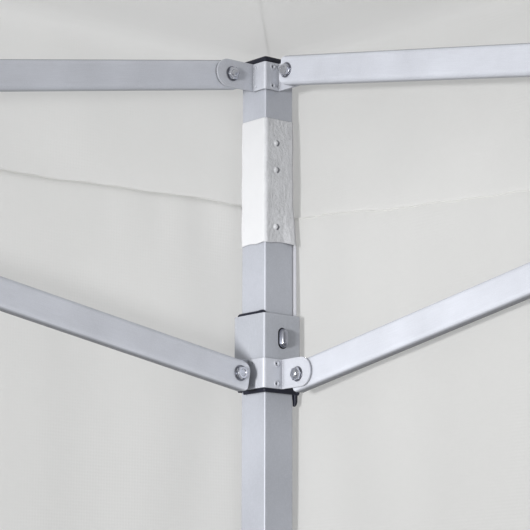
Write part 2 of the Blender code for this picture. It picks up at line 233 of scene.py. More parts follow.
def fabric(name, rgb, trans, weave=1500.0, mottle=0.03):
    """Coated woven polyester: a plain weave in both directions, faint cloudiness and
    creases, letting some light through."""
    n = Nodes(name)
    w = []
    for axis in ("X", "Y", "Z"):
        t = n.node("ShaderNodeTexWave", wave_type="BANDS", bands_direction=axis, wave_profile="SIN")
        t.inputs["Scale"].default_value = weave / 6.283 * 0.5
        t.inputs["Distortion"].default_value = 0.6
        t.inputs["Detail"].default_value = 1
        n.link(n.mapping((1, 1, 1)), t.inputs["Vector"])
        w.append(t.outputs["Fac"])
    threads = n.math("MULTIPLY", n.math("ADD", n.math("ADD", w[0], w[1]), w[2]), 0.333)
    cloud = n.noise(n.mapping((1, 1, 1)), 2.2, 4, 0.6)
    fine = n.noise(n.mapping((1, 1, 1)), 240, 3)
    crease = n.noise(n.mapping((5, 5, 9), (0.2, 0.1, 0.4)), 1.0, 5, 0.5)
    col = n.mix(cloud, tuple(c * (1 - mottle) for c in rgb), tuple(min(1, c * (1 + mottle)) for c in rgb))
    col = n.mix(n.math("MULTIPLY", fine, 0.10), col, tuple(c * 0.86 for c in rgb))
    n.link(col, n.p.inputs["Base Color"])
    n.p.inputs["Roughness"].default_value = 0.78
    n.p.inputs["Sheen Weight"].default_value = 0.15
    n.p.inputs["Sheen Roughness"].default_value = 0.5
    n.p.inputs["Specular IOR Level"].default_value = 0.25
    b = n.bump(threads, 0.18, 0.0004)
    b = n.bump(crease, 0.25, 0.006, b)
    n.link(b, n.p.inputs["Normal"])
    tr = n.node("ShaderNodeBsdfTranslucent")
    n.link(col, tr.inputs["Color"])
    n.link(b, tr.inputs["Normal"])
    mx = n.node("ShaderNodeMixShader")
    mx.inputs[0].default_value = trans
    n.link(n.p.outputs[0], mx.inputs[1])
    n.link(tr.outputs[0], mx.inputs[2])
    n.link(mx.outputs[0], n.out.inputs["Surface"])
    return n.m


def felt(name, rgb):
    """Hook-and-loop tape: brushed loops, smooth on one face and matted on the other; the matted face's base colour is
    darker and bluer, partly its own tone and partly painted shade, with painted shadows beside its studs.
    """
    n = Nodes(name)
    g = n.node("ShaderNodeNewGeometry")
    sep = n.node("ShaderNodeSeparateXYZ")
    obj = n.node("ShaderNodeVectorTransform", vector_type="NORMAL", convert_from="WORLD", convert_to="OBJECT")
    n.link(g.outputs["Normal"], obj.inputs[0])
    n.link(obj.outputs[0], sep.inputs[0])
    matted_and_shaded_side = n.ramp(n.math("MULTIPLY", sep.outputs[1], -1.0), [(0.25, (0, 0, 0)), (0.8, (1, 1, 1))])
    a = n.noise(n.mapping((1, 1, 1)), 260, 5, 0.7)
    c = n.noise(n.mapping((1, 1, 0.55)), 110, 5, 0.7)
    # the matted face is darkened and tinted blue-grey: partly its own tone, partly painted shade for the side the light
    # reaches less
    col = n.mix(n.math("MULTIPLY", n.ramp(c, [(0.38, (0, 0, 0)), (0.66, (1, 1, 1))]), n.math("MULTIPLY", matted_and_shaded_side, 0.42)), rgb, tuple(x * 0.62 for x in rgb))
    col = n.mix(n.math("MULTIPLY", matted_and_shaded_side, 0.28), col, (0.40, 0.41, 0.45))
    # painted shadow: a dark crescent on the far side of each stud, on the matted face only
    for hz in (-0.056, -0.0786, -0.1267):
        d = []
        for cx in (-0.0027, -0.0046):
            v = n.node("ShaderNodeVectorMath", operation="DISTANCE")
            flat = n.node("ShaderNodeVectorMath", operation="MULTIPLY")
            flat.inputs[1].default_value = (1, 0, 0.8)
            n.link(n.co.outputs["Object"], flat.inputs[0])
            n.link(flat.outputs[0], v.inputs[0])
            v.inputs[1].default_value = (cx, 0, hz * 0.8)
            d.append(v.outputs["Value"])
        inside = n.math("MINIMUM", n.math("MAXIMUM", n.math("DIVIDE", n.math("SUBTRACT", 0.0024, d[0]), 0.0007), 0.0), 1.0)
        beyond = n.math("MINIMUM", n.math("MAXIMUM", n.math("DIVIDE", n.math("SUBTRACT", d[1], 0.0012), 0.0006), 0.0), 1.0)
        shade = n.math("MULTIPLY", n.math("MULTIPLY", inside, beyond), n.math("MINIMUM", n.math("MULTIPLY", matted_and_shaded_side, 2.5), 0.92))
        col = n.mix(shade, col, (0.09, 0.095, 0.12))
    n.link(col, n.p.inputs["Base Color"])
    n.p.inputs["Roughness"].default_value = 0.72
    n.p.inputs["Sheen Weight"].default_value = 0.3
    s = n.math("ADD", n.math("MULTIPLY", matted_and_shaded_side, 0.85), 0.10)
    h = n.math("ADD", n.math("MULTIPLY", a, 0.5), c)
    bp = n.node("ShaderNodeBump")
    bp.inputs["Distance"].default_value = 0.0016
    n.link(s, bp.inputs["Strength"])
    n.link(h, bp.inputs["Height"])
    n.link(bp.outputs[0], n.p.inputs["Normal"])
    return n.m


TUBE = metal("leg_coat", (0.398, 0.413, 0.457), 0.48, 0.28, edge=False, gap_shade=0.0035)
BAR = metal("truss_coat", (0.540, 0.557, 0.610), 0.46, 0.30, grain=(2, 40, 40), speckle=1100, bump=0.22, rim_shade=(2, 0.0128, 0.0016, 0.8), gap_shade=0.0045)
ZINC = metal("slider_zinc", (0.385, 0.40, 0.44), 0.50, 0.30, grain=(60, 60, 3), speckle=700, grain_mix=0.16, edge=False, gap_shade=0.0045)
SHEET = metal("bracket_zinc", (0.482, 0.496, 0.54), 0.54, 0.26, grain=(8, 8, 60), speckle=800, edge=False, gap_shade=0.0085)
FOOTM = metal("foot_coat", (0.56, 0.58, 0.62), 0.42, 0.7, dirt=0.16)
BOLT = metal("bolt_zinc", (0.50, 0.51, 0.55), 0.20, 1.0, grain=(40, 40, 40), speckle=1500, grain_mix=0.2, dirt=0.2)
WASH = metal("washer_steel", (0.15, 0.155, 0.18), 0.35, 0.9, grain=(40, 40, 40), speckle=1500, dirt=0.3)
SHINY = metal("button_plated", (0.36, 0.37, 0.42), 0.13, 1.0, grain=(10, 10, 10), speckle=1200, bump=0.03, edge=False)
BLACK = plastic("liner_nylon", (0.0075, 0.0085, 0.018), 0.50)
BLACKC = plastic("cap_nylon", (0.0075, 0.0085, 0.017), 0.46)
CLOTH = fabric("canopy_polyester", (0.80, 0.80, 0.79), 0.74)
WALLC = fabric("wall_polyester", (0.80, 0.80, 0.79), 0.74)
TAPE = fabric("seam_tape", (0.80, 0.80, 0.79), 0.74, weave=2600.0)
# the hem tape is the same polyester made brighter and more translucent: a painted highlight that keeps its doubled edge
# from showing as a dark line
HEMC = fabric("hem_polyester", (0.94, 0.94, 0.93), 0.88, weave=2600.0)
STRAP = fabric("strap_webbing", (0.62, 0.63, 0.68), 0.0, weave=5200.0)
FELT = felt("hook_and_loop_tape", (0.53, 0.535, 0.55))

# ------------------------------------------------------------------ mesh helpers


def obj(name, me, mat, mods=True):
    o = bpy.data.objects.new(name, me)
    scene.collection.objects.link(o)
    if not me.materials:
        me.materials.append(mat)
    return o


def finish_mesh(bm, name, angle=40):
    bmesh.ops.remove_doubles(bm, verts=bm.verts, dist=1e-6)
    bmesh.ops.recalc_face_normals(bm, faces=bm.faces)
    me = bpy.data.meshes.new(name)
    bm.to_mesh(me)
    bm.free()
    me.shade_smooth()
    me.set_sharp_from_angle(angle=math.radians(angle))
    return me


def bake(me, mods):
    """Applies modifiers, each (type, {settings}), and returns the resulting mesh."""
    o = bpy.data.objects.new("work", me)
    scene.collection.objects.link(o)
    for kind, kw in mods:
        m = o.modifiers.new(kind, kind)
        for k, v in kw.items():
            setattr(m, k, v)
    bpy.context.view_layer.update()
    out = bpy.data.meshes.new_from_object(o.evaluated_get(bpy.context.evaluated_depsgraph_get()))
    bpy.data.objects.remove(o)
    return out


def bevelled(me, width=0.0005, seg=2, angle=30):
    out = bake(me, [("BEVEL", dict(width=width, segments=seg, limit_method="ANGLE", angle_limit=math.radians(angle), harden_normals=False)),
                    ("WEIGHTED_NORMAL", dict(keep_sharp=False, weight=80))])
    return out


def rsquare(h, r, n=5, h2=None):
    """Rounded rectangle outline, half sizes h and h2, corner radius r."""
    h2 = h if h2 is None else h2
    pts = []
    for cx, cy, a0 in ((h - r, -h2 + r, -90), (h - r, h2 - r, 0), (-h + r, h2 - r, 90), (-h + r, -h2 + r, 180)):
        for i in range(n + 1):
            a = math.radians(a0 + 90 * i / n)
            pts.append((cx + r * math.cos(a), cy + r * math.sin(a)))
    return pts


def loft(rings, caps=(True, True)):
    """A bmesh skinned through rings of 3-D points of equal count."""
    bm = bmesh.new()
    vs = [[bm.verts.new(p) for p in ring] for ring in rings]
    n = len(vs[0])
    for a, b in zip(vs, vs[1:]):
        for i in range(n):
            j = (i + 1) % n
            bm.faces.new((a[i], a[j], b[j], b[i]))
    if caps[0]:
        bm.faces.new(list(reversed(vs[0])))
    if caps[1]:
        bm.faces.new(vs[-1])
    return bm


def tube_rings(outer, inner, z0, z1, chamfer=0.0003):
    """Rings of a hollow upright tube with eased rims; closed by joining first to last."""
    def at(pts, z):
        return [(x, y, z) for x, y in pts]

    def grow(pts, d):
        out = []
        for x, y in pts:
            l = math.hypot(x, y)
            out.append((x * (1 + d / l), y * (1 + d / l)))
        return out
    c = chamfer
    return [at(grow(outer, -c), z0), at(outer, z0 + c), at(outer, z1 - c), at(grow(outer, -c), z1),
            at(grow(inner, c), z1), at(inner, z1 - c), at(inner, z0 + c), at(grow(inner, c), z0)]


def hollow(outer, inner, z0, z1, name, chamfer=0.0003):
    rings = tube_rings(outer, inner, z0, z1, chamfer)
    bm = bmesh.new()
    vs = [[bm.verts.new(p) for p in ring] for ring in rings]
    n = len(vs[0])
    m = len(vs)
    for r in range(m):
        a, b = vs[r], vs[(r + 1) % m]
        for i in range(n):
            j = (i + 1) % n
            bm.faces.new((a[i], a[j], b[j], b[i]))
    return finish_mesh(bm, name, 50)


def cut(me, cutters):
    """Boolean difference with each cutter mesh."""
    o = bpy.data.objects.new("work", me)
    scene.collection.objects.link(o)
    made = []
    for c in cutters:
        k = bpy.data.objects.new("cutter", c)
        scene.collection.objects.link(k)
        mod = o.modifiers.new("cut", "BOOLEAN")
        mod.operation, mod.object, mod.solver = "DIFFERENCE", k, "EXACT"
        made.append(k)
    bpy.context.view_layer.update()
    out = bpy.data.meshes.new_from_object(o.evaluated_get(bpy.context.evaluated_depsgraph_get()))
    for k in made + [o]:
        bpy.data.objects.remove(k)
    out.shade_smooth()
    out.set_sharp_from_angle(angle=math.radians(40))
    return out


def weighted(me):
    return bake(me, [("WEIGHTED_NORMAL", dict(keep_sharp=True, weight=90))])


def oblong(r, hh, n, cz=0.0):
    pts = []
    for c, a0 in ((cz + hh - r, 0), (cz - hh + r, 180)):
        pts += [(r * math.cos(math.radians(a0 + 180 * i / n)), c + r * math.sin(math.radians(a0 + 180 * i / n))) for i in range(n + 1)]
    return pts


def lathe(profile, n=28, axis="Z"):
    """Round solid from (radius, height) pairs, ends on the axis."""
    bm = bmesh.new()
    rows = []
    for r, z in profile:
        if r == 0:
            rows.append([bm.verts.new((0, 0, z))])
        else:
            rows.append([bm.verts.new((r * math.cos(2 * math.pi * i / n), r * math.sin(2 * math.pi * i / n), z)) for i in range(n)])
    for a, b in zip(rows, rows[1:]):
        for i in range(n):
            j = (i + 1) % n
            if len(a) == 1:
                bm.faces.new((a[0], b[i], b[j]))
            elif len(b) == 1:
                bm.faces.new((a[i], b[0], a[j]))
            else:
                bm.faces.new((a[i], a[j], b[j], b[i]))
    return bm


def joined(parts, name="joined"):
    """One mesh from (mesh, matrix) pairs."""
    bm = bmesh.new()
    for me, mat in parts:
        b2 = bmesh.new()
        b2.from_mesh(me)
        b2.transform(mat)
        for f_ in b2.faces:
            f_.material_index = 1 if me.name.startswith("washer") else 0
        tmp = bpy.data.meshes.new("t")
        b2.to_mesh(tmp)
        b2.free()
        bm.from_mesh(tmp)
        bpy.data.meshes.remove(tmp)
    me = bpy.data.meshes.new(name)
    bm.to_mesh(me)
    bm.free()
    me.shade_smooth()
    return me


def fillet_path(pts, radii, n=5):
    """Plan polyline with rounded corners; pts are 2-D, radii one for each inner corner."""
    out = [Vector(pts[0])]
    for i in range(1, len(pts) - 1):
        a, b, c = Vector(pts[i - 1]), Vector(pts[i]), Vector(pts[i + 1])
        u, v = (a - b).normalized(), (c - b).normalized()
        r = radii[i - 1]
        ang = u.angle(v)
        d = r / math.tan(ang / 2)
        p0, p1 = b + u * d, b + v * d
        centre = b + (u + v).normalized() * (r / math.sin(ang / 2))
        a0, a1 = (p0 - centre), (p1 - centre)
        t0 = math.atan2(a0.y, a0.x)
        dt = math.atan2(a1.y, a1.x) - t0
        while dt > math.pi:
            dt -= 2 * math.pi
        while dt < -math.pi:
            dt += 2 * math.pi
        for k in range(n + 1):
            t = t0 + dt * k / n
            out.append(centre + Vector((math.cos(t), math.sin(t))) * r)
    out.append(Vector(pts[-1]))
    return out


def bent_sheet(pts, radii, R, thick, dimples=(), ends=(True, True), name="sheet", step=0.00055):
    """A bent sheet bracket: the plan path swept upright, R half height, round ends of
    radius R, dimples as (path distance, height, radius, depth)."""
    path = fillet_path(pts, radii)
    seg = [0.0]
    for a, b in zip(path, path[1:]):
        seg.append(seg[-1] + (b - a).length)
    total = seg[-1]
    s_vals = set(seg)
    k = 0.0
    while k < total:
        s_vals.add(k)
        k += step
    for e in range(13):
        q = R * (1 - math.cos(math.pi / 2 * e / 12))
        if ends[0]:
            s_vals.add(q)
        if ends[1]:
            s_vals.add(total - q)
    s_vals = sorted(s_vals)
    clean = [s_vals[0]]
    for s in s_vals[1:]:
        if s - clean[-1] > 0.00022:
            clean.append(s)
    if total - clean[-1] > 1e-9:
        clean[-1] = total
    NV = 40
    bm = bmesh.new()
    cols = []
    for s in clean:
        i = max(0, min(len(seg) - 2, next((q for q in range(len(seg) - 1) if seg[q + 1] >= s - 1e-12), len(seg) - 2)))
        f = (s - seg[i]) / max(seg[i + 1] - seg[i], 1e-12)
        p = path[i].lerp(path[i + 1], f)
        d = (path[i + 1] - path[i]).normalized()
        nrm = Vector((d.y, -d.x))
        h = R
        if ends[0] and s < R:
            h = math.sqrt(max(R * R - (R - s) ** 2, 0))
        if ends[1] and total - s < R:
            h = min(h, math.sqrt(max(R * R - (R - (total - s)) ** 2, 0)))
        h = max(h, R * 0.12)
        col = []
        for j in range(NV + 1):
            z = h * (-1 + 2 * j / NV)
            off = 0.0
            for ds, dz, dr, dd in dimples:
                q = math.hypot(s - ds, z - dz) / dr
                if q < 1.6:
                    off -= dd * math.exp(-(q * 1.7) ** 2) - dd * 0.45 * math.exp(-((q - 1.05) * 5) ** 2)
            col.append(bm.verts.new((p.x + nrm.x * off, p.y + nrm.y * off, z)))
        cols.append(col)
    for a, b in zip(cols, cols[1:]):
        for j in range(NV):
            bm.faces.new((a[j], b[j], b[j + 1], a[j + 1]))
    me = bpy.data.meshes.new(name)
    bm.to_mesh(me)
    bm.free()
    out = bake(me, [("SOLIDIFY", dict(thickness=thick, offset=0.0)),
                    ("BEVEL", dict(width=0.00035, segments=2, limit_method="ANGLE", angle_limit=math.radians(50)))])
    out.shade_smooth()
    out.set_sharp_from_angle(angle=math.radians(50))
    return out, total


def replace4(name, body, me, mat, nodes=None, origin=Matrix.Identity(4), first=True):
    """Four turned copies of a mesh made at the east side or north-east corner, each
    riding on its own body and standing for its CAD node."""
    names = SIDES if "@S" in name else CORNERS
    made = []
    for k, s in enumerate(names):
        o = obj(name.replace("@S", s).replace("@C", s), me, mat)
        o.matrix_world = turn(k) @ origin
        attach(o, body.replace("@S", s).replace("@C", s))
        if nodes:
            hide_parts(*[q.replace("@S", s).replace("@C", s) for q in nodes])
        made.append(o)
    return made


AT_LEG = Matrix.Translation((HALF, HALF, TOP))

# ------------------------------------------------------------------ legs
half = 0.015
leg_z0, leg_z1 = leg_lo.z - TOP, 0.0125
outer = rsquare(half, 0.0013, 5)
inner = rsquare(half - 0.0012, 0.0005, 5)
leg_me = hollow(outer, inner, leg_z0, leg_z1, "leg_tube")
BUT_Z = (but_lo.z + but_hi.z) / 2 - TOP


def y_cutter(outline, y0, y1):
    bm = loft([[(x, y0, z) for x, z in outline], [(x, y1, z) for x, z in outline]])
    return finish_mesh(bm, "c")


cutters = [y_cutter(oblong(0.0045, 0.0085, 10, BUT_Z), -0.03, -0.010)]
for z in (-0.056, -0.0786, -0.1267):
    cutters.append(y_cutter([(-0.0035 + 0.0025 * math.cos(a * math.pi / 8), z + 0.0025 * math.sin(a * math.pi / 8)) for a in range(16)], -0.03, -0.010))
leg_me = weighted(cut(leg_me, cutters))
replace4("leg_tube_@C", "leg_@C", leg_me, TUBE, ["leg_@C"], AT_LEG)

# top bracket: bent sheet with two ears, four spot welds
p = half + 0.001
s_a = 0.0555 - p          # ear length before the first bend
welds = []
for ds in (s_a + 0.0035, s_a + 0.001 + 2 * (p - 0.001) - 0.0045):
    for dz in (-0.0082, 0.0082):
        welds.append((ds, dz, 0.0015, 0.0010))
welds += [(s_a + 0.001 + (p - 0.001) + 0.0052, 0.0080, 0.0019, 0.0019), (s_a + 0.001 + (p - 0.001) + 0.0052, -0.0080, 0.0019, 0.0019)]
top_br, _ = bent_sheet([(-0.0555, -0.001), (-p, -0.001), (-p, -p), (-0.001, -p), (-0.001, -0.0555)],
                       [0.0012, 0.0011, 0.0012], 0.0116, EAR_T, welds)
replace4("top_bracket_@C", "leg_@C", top_br, SHEET, None, AT_LEG @ Matrix.Translation((0, 0, 0.0004)))

# leg cap: thin plate with a low crown
ring = lambda h, r, z: [(x, y, z) for x, y in rsquare(h, r, 5)]
cap = loft([ring(0.0132, 0.0012, -0.006), ring(0.0132, 0.0012, 0.0127), ring(0.0151, 0.0014, 0.0128), ring(0.0155, 0.0016, 0.0134),
            ring(0.0155, 0.0018, 0.0160), ring(0.0147, 0.0018, 0.0172), ring(0.0110, 0.0018, 0.0182), ring(0.0040, 0.0012, 0.0186)])
replace4("leg_cap_cover_@C", "leg_@C", weighted(finish_mesh(cap, "cap", 60)), BLACKC, ["leg_cap_@C"], AT_LEG)

# hook-and-loop strip wrapped round the leg, ends lapped on the far side
def strip_mesh():
    z1, z0 = -0.0355, -0.1400
    base = rsquare(half + 0.0011, 0.0034, 7)
    n_z = 170
    bm = bmesh.new()
    # densify outline
    pts = []
    for i in range(len(base)):
        a, b = base[i], base[(i + 1) % len(base)]
        d = math.dist(a, b)
        m = max(1, int(d / 0.0006))
        for k in range(m):
            pts.append((a[0] + (b[0] - a[0]) * k / m, a[1] + (b[1] - a[1]) * k / m))
    rows = []
    n = len(pts)
    for j in range(n_z + 1):
        t = j / n_z
        row = []
        for i, (x, y) in enumerate(pts):
            l = math.hypot(x, y)
            # the two cut edges are not quite level, and lift a little off the tube
            edge = (0.0007 * math.sin(x * 210 + 1.0) + 0.0004 * math.sin(y * 330)) if t < 0.5 else 0.0
            z = z0 + (z1 - z0) * t + edge * (abs(2 * t - 1) ** 6)
            out = 0.00018 * math.sin(z * 190 + x * 70 + y * 90)
            if y < -half:      # matted face: lumps, and small studs pushed up through the felt
                for hz in (-0.056, -0.0786, -0.1267):
                    q = math.hypot(x + 0.0040, z - hz) / 0.0019
                    out += 0.0013 * math.exp(-q ** 4)
                    out -= 0.0003 * math.exp(-((q - 1.7) * 2.6) ** 2)
                out += 0.00005 * math.sin(x * 900 + 3 * math.sin(z * 260)) * math.sin(z * 740 + 2 * math.sin(x * 410))
            if x > 0.004 and y < 0 and t < 0.42:
                # the lower outer corner flares
                out += 0.0030 * (1 - t / 0.42) ** 1.6 * min(1, (x - 0.004) / 0.008)
            row.append(bm.verts.new((x + x / l * out, y + y / l * out, z)))
        rows.append(row)
    for a, b in zip(rows, rows[1:]):
        for i in range(n):
            j = (i + 1) % n
            bm.faces.new((a[i], a[j], b[j], b[i]))
    bmesh.ops.recalc_face_normals(bm, faces=bm.faces)
    me = bpy.data.meshes.new("strip")
    bm.to_mesh(me)
    bm.free()
    out = bake(me, [("SOLIDIFY", dict(thickness=0.0010, offset=-0.9))])
    out.shade_smooth()
    return out


replace4("hook_loop_strip_@C", "leg_@C", strip_mesh(), FELT, None, AT_LEG)

# spare end of the tape, folded down the outer side of the leg
rows = []
for z, o1 in ((-0.1990, 0.0), (-0.1984, 0.0003), (-0.170, 0.0002), (-0.141, 0.0), (-0.1395, -0.0004)):
    rows.append([(x + 0.0176 + o1 * 0.5, y * 1.0, z) for x, y in rsquare(0.0024, 0.0010, 4, 0.0142)])
tail = finish_mesh(loft(rows), "tail", 60)
replace4("hook_loop_tail_@C", "leg_@C", tail, STRAP, None, AT_LEG)

# ------------------------------------------------------------------ lower legs with foot plates
h = 0.0125
fi = hollow(rsquare(h, 0.0020, 4), rsquare(h - 0.0012, 0.0010, 4), 0.0035, foot_hi.z, "inner_leg")
plate_bm = loft([[(x - 0.01425, y - 0.01425, z) for x, y in rsquare(q, r, 5)] for q, r, z in
                 ((0.0300, 0.0060, 0.0), (0.03075, 0.0066, 0.0006), (0.03075, 0.0066, 0.0034), (0.0300, 0.0060, 0.0040))])
plate = finish_mesh(plate_bm, "plate", 40)
holes = []
for hx, hy in ((-0.036, -0.036), (0.008, -0.036), (-0.036, 0.008)):
    holes.append(finish_mesh(loft([[(hx + 0.0035 * math.cos(a * math.pi / 10), hy + 0.0035 * math.sin(a * math.pi / 10), z) for a in range(20)] for z in (-0.01, 0.02)]), "c"))
plate = cut(plate, holes)
weld_ring = loft([ring(0.0125 + 0.0030, 0.004, 0.0038), ring(0.0125 + 0.0012, 0.003, 0.0048), ring(0.0125, 0.0022, 0.0066)], caps=(False, False))
weld_me = finish_mesh(weld_ring, "weld", 80)
foot = joined([(fi, Matrix.Identity(4)), (plate, Matrix.Identity(4)), (weld_me, Matrix.Identity(4))])
foot.set_sharp_from_angle(angle=math.radians(40))
replace4("lower_leg_@C", "leg_foot_@C", weighted(foot), FOOTM, ["leg_foot_@C"], Matrix.Translation((HALF, HALF, 0)))

# ------------------------------------------------------------------ sliders
SH = 0.01945
s_z0, s_z1 = -0.2590, slv_hi.z - TOP
F_Z = -0.2600                    # top of the liner's flange
sleeve = hollow(rsquare(SH, 0.0017, 7), rsquare(SH - 0.0015, 0.0010, 7), s_z0, s_z1, "sleeve", 0.0004)
sleeve = weighted(cut(sleeve, [y_cutter(oblong(0.0048, 0.0088, 10, BUT_Z), -0.03, -0.012)]))
replace4("slider_sleeve_@C", "slider_@C", sleeve, ZINC, ["slider_@C"], AT_LEG)
p = SH + 0.001
s_a = 0.0555 - p
run = p - 0.001
welds = [(s_a + run + 0.0066 + run * 0.25, 0.0082, 0.0020, 0.0019), (s_a + run + 0.0066 + run * 0.25, -0.0082, 0.0020, 0.0019),
         (s_a + 0.0052, 0.0086, 0.0016, 0.0009), (s_a + 0.0052, -0.0086, 0.0016, 0.0009)]
low_br, _ = bent_sheet([(-0.0555, -0.001), (-p, -0.001), (-p, -p), (-0.001, -p), (-0.001, -0.0555)],
                       [0.0012, 0.0013, 0.0012], 0.0120, EAR_T, welds)
replace4("slider_bracket_@C", "slider_@C", low_br, SHEET, None, AT_LEG @ Matrix.Translation((0, 0, -DROP + 0.0016)))

# liner: sleeve inside, lip on top, soft-edged flange below with a hooked tab
l_z0, l_z1 = lin_lo.z - TOP, lin_hi.z - TOP
lh = SH - 0.0015 - GAP
body_l = hollow(rsquare(lh, 0.0018, 6), rsquare(half + GAP, 0.0014, 6), F_Z - 0.002, s_z1 - 0.0006, "liner", 0.0005)
body_l = cut(body_l, [y_cutter(oblong(0.0041, 0.0081, 10, BUT_Z), -0.03, -0.012)])
# the lip stands above the sleeve along one side only
lip = []
for y, hh in ((0.0168, 0.0018), (0.0150, 0.0026), (-0.0080, 0.0026), (-0.0130, 0.0031), (-0.0150, 0.0026), (-0.0168, 0.0008)):
    lip.append([(-lh + 0.0001, y, s_z1 - 0.002), (-half - GAP, y, s_z1 - 0.002), (-half - GAP, y, s_z1 + hh - 0.0004), (-half - GAP - 0.0005, y, s_z1 + hh), (-lh + 0.0006, y, s_z1 + hh), (-lh + 0.0001, y, s_z1 + hh - 0.0005)])
lip = finish_mesh(loft(lip), "lip", 40)
# the flange is open on the far side
fl = hollow([(min(x, 0.0172), y) for x, y in rsquare(0.0172, 0.0024, 7)], rsquare(half + GAP, 0.0014, 7), F_Z - 0.0043, F_Z, "flange", 0.0007)
fl = cut(fl, [finish_mesh(loft([[(x, y, z) for x, y in ((-0.03, 0.0100), (0.03, 0.0100), (0.03, 0.03), (-0.03, 0.03))] for z in (F_Z - 0.01, F_Z + 0.01)]), "c")])
tab = []
for z, dx, w, t in ((-0.0006, 0.0, 0.0022, 0.0016), (-0.0060, 0.0002, 0.0021, 0.0016), (-0.0100, 0.0004, 0.0019, 0.0015), (-0.0112, 0.0003, 0.0017, 0.0014),
                    (-0.0128, -0.0002, 0.0014, 0.0011), (-0.0137, -0.0006, 0.0009, 0.0006)):
    tab.append([(0.0172 + dx + t * x, -0.0146 + w * y, F_Z + z) for x, y in rsquare(1.0, 0.55, 4)])
tab = finish_mesh(loft(tab), "tab", 60)
knob = finish_mesh(lathe([(0, -0.0026), (0.0014, -0.0024), (0.0023, -0.0014), (0.0027, 0), (0.0023, 0.0014), (0.0014, 0.0024), (0, 0.0026)], 18), "knob", 80)
liner = joined([(body_l, Matrix.Identity(4)), (lip, Matrix.Identity(4)), (fl, Matrix.Identity(4)), (tab, Matrix.Identity(4)),
                (knob, Matrix.Translation((0.0186, -0.0152, F_Z - 0.0022)))])
liner.set_sharp_from_angle(angle=math.radians(45))
replace4("liner_insert_@C", "slider_@C", liner, BLACK, ["slider_liner_@C"], AT_LEG)

# snap button: oblong, with a full rounded nose
rows = []
for y, d in ((0.0120, 0.0022), (0.0134, 0.0022), (0.0135, 0.0)):
    rows.append([(x, -y, z) for x, z in oblong(0.0040 + d, 0.0080 + d, 12, BUT_Z)])
for i in range(11):
    a = math.pi / 2 * i / 10
    y = 0.0197 + 0.0050 * math.sin(a)
    d = -0.0037 * (1 - math.cos(a))
    rows.append([(x, -y, z) for x, z in oblong(0.0040 + d, 0.0080 + d * 1.1, 12, BUT_Z)])
nose = finish_mesh(loft(rows), "nose", 60)
replace4("snap_button_nose_@C", "snap_button_@C", nose, SHINY, ["snap_button_@C"], AT_LEG)

# ------------------------------------------------------------------ truss bars
def bar_shell(r_plus, r_minus, lift, E):
    """Rectangular tube with soft long edges and round-cut open ends, local frame as its
    joint: x along, y = 0 the near face, z its height. The end's two corners have their
    own radii, and the tube sits a little to one side of its pins."""
    H, T = BAR_H / 2, BAR_T / 2
    prof = rsquare(T, 0.0043, 8, H)
    dense = []
    for i in range(len(prof)):
        a, b = prof[i], prof[(i + 1) % len(prof)]
        m = max(1, int(math.dist(a, b) / 0.0016))
        for k in range(m):
            dense.append((a[0] + (b[0] - a[0]) * k / m, a[1] + (b[1] - a[1]) * k / m))

    def end(z):
        R = r_plus if z > 0 else r_minus
        q = abs(z) - (H - R)
        return E - (R - math.sqrt(max(R * R - q * q, 0))) if q > 0 else E
    bm = bmesh.new()
    rings = []
    L = BAR_LEN
    stations = [("a", 0.0), ("a", 0.4), ("a", 1.0)] + [("m", q) for q in (0.02, 0.12, L / 2, L - 0.12, L - 0.02)] + [("b", 1.0), ("b", 0.4), ("b", 0.0)]
    for kind, q in stations:
        row = []
        for y, z in dense:
            if kind == "a":
                x = -end(z) + (0.012 + end(z)) * q
            elif kind == "b":
                x = L + end(z) - (0.012 + end(z)) * q
            else:
                x = q
            row.append((x, y - T, z + lift))
        rings.append(row)
    bm = loft(rings, caps=(False, False))
    me = finish_mesh(bm, "bar", 60)
    out = bake(me, [("SOLIDIFY", dict(thickness=0.0010, offset=-1.0)),
                    ("BEVEL", dict(width=0.00022, segments=2, limit_method="ANGLE", angle_limit=math.radians(60))),
                    ("WEIGHTED_NORMAL", dict(keep_sharp=False, weight=90))])
    return out


# keyed by whether local z points up, whether the bar's corner end is the upper one, and
# whether it carries the crossing pin
BAR_MESH = {(up_, hi, pn): bar_shell(*(((0.0030, 0.0062) if hi and pn else (0.0098, 0.0030))[::1 if up_ else -1]), (0.0005 if hi else -0.0006) * (1 if up_ else -1), 0.0080 if hi and pn else 0.0100)
            for up_ in (True, False) for hi in (True, False) for pn in (True, False)}


def hex_ring(r, y, rot=0.0, rnd=0.0, n=6):
    """Hexagon outline with points between its corners so a chamfer can round it."""
    pts = []
    for i in range(24):
        a = 2 * math.pi * i / 24 + rot
        k = (a - rot) % (math.pi / 3) - math.pi / 6
        rr = r * math.cos(math.pi / 6) / math.cos(k)
        rr = rr * (1 - rnd) + r * math.cos(math.pi / 6) * rnd
        pts.append((rr * math.cos(a), y, rr * math.sin(a)))
    return pts


def washer(r, y0, y1):
    pts = [(r * 0.98, y0), (r, y0 + (y1 - y0) * 0.3), (r, y0 + (y1 - y0) * 0.7), (r * 0.97, y1)]
    rows = [[(a * math.cos(2 * math.pi * i / 30), y, a * math.sin(2 * math.pi * i / 30)) for i in range(30)] for a, y in pts]
    return finish_mesh(loft(rows), "washer", 40)


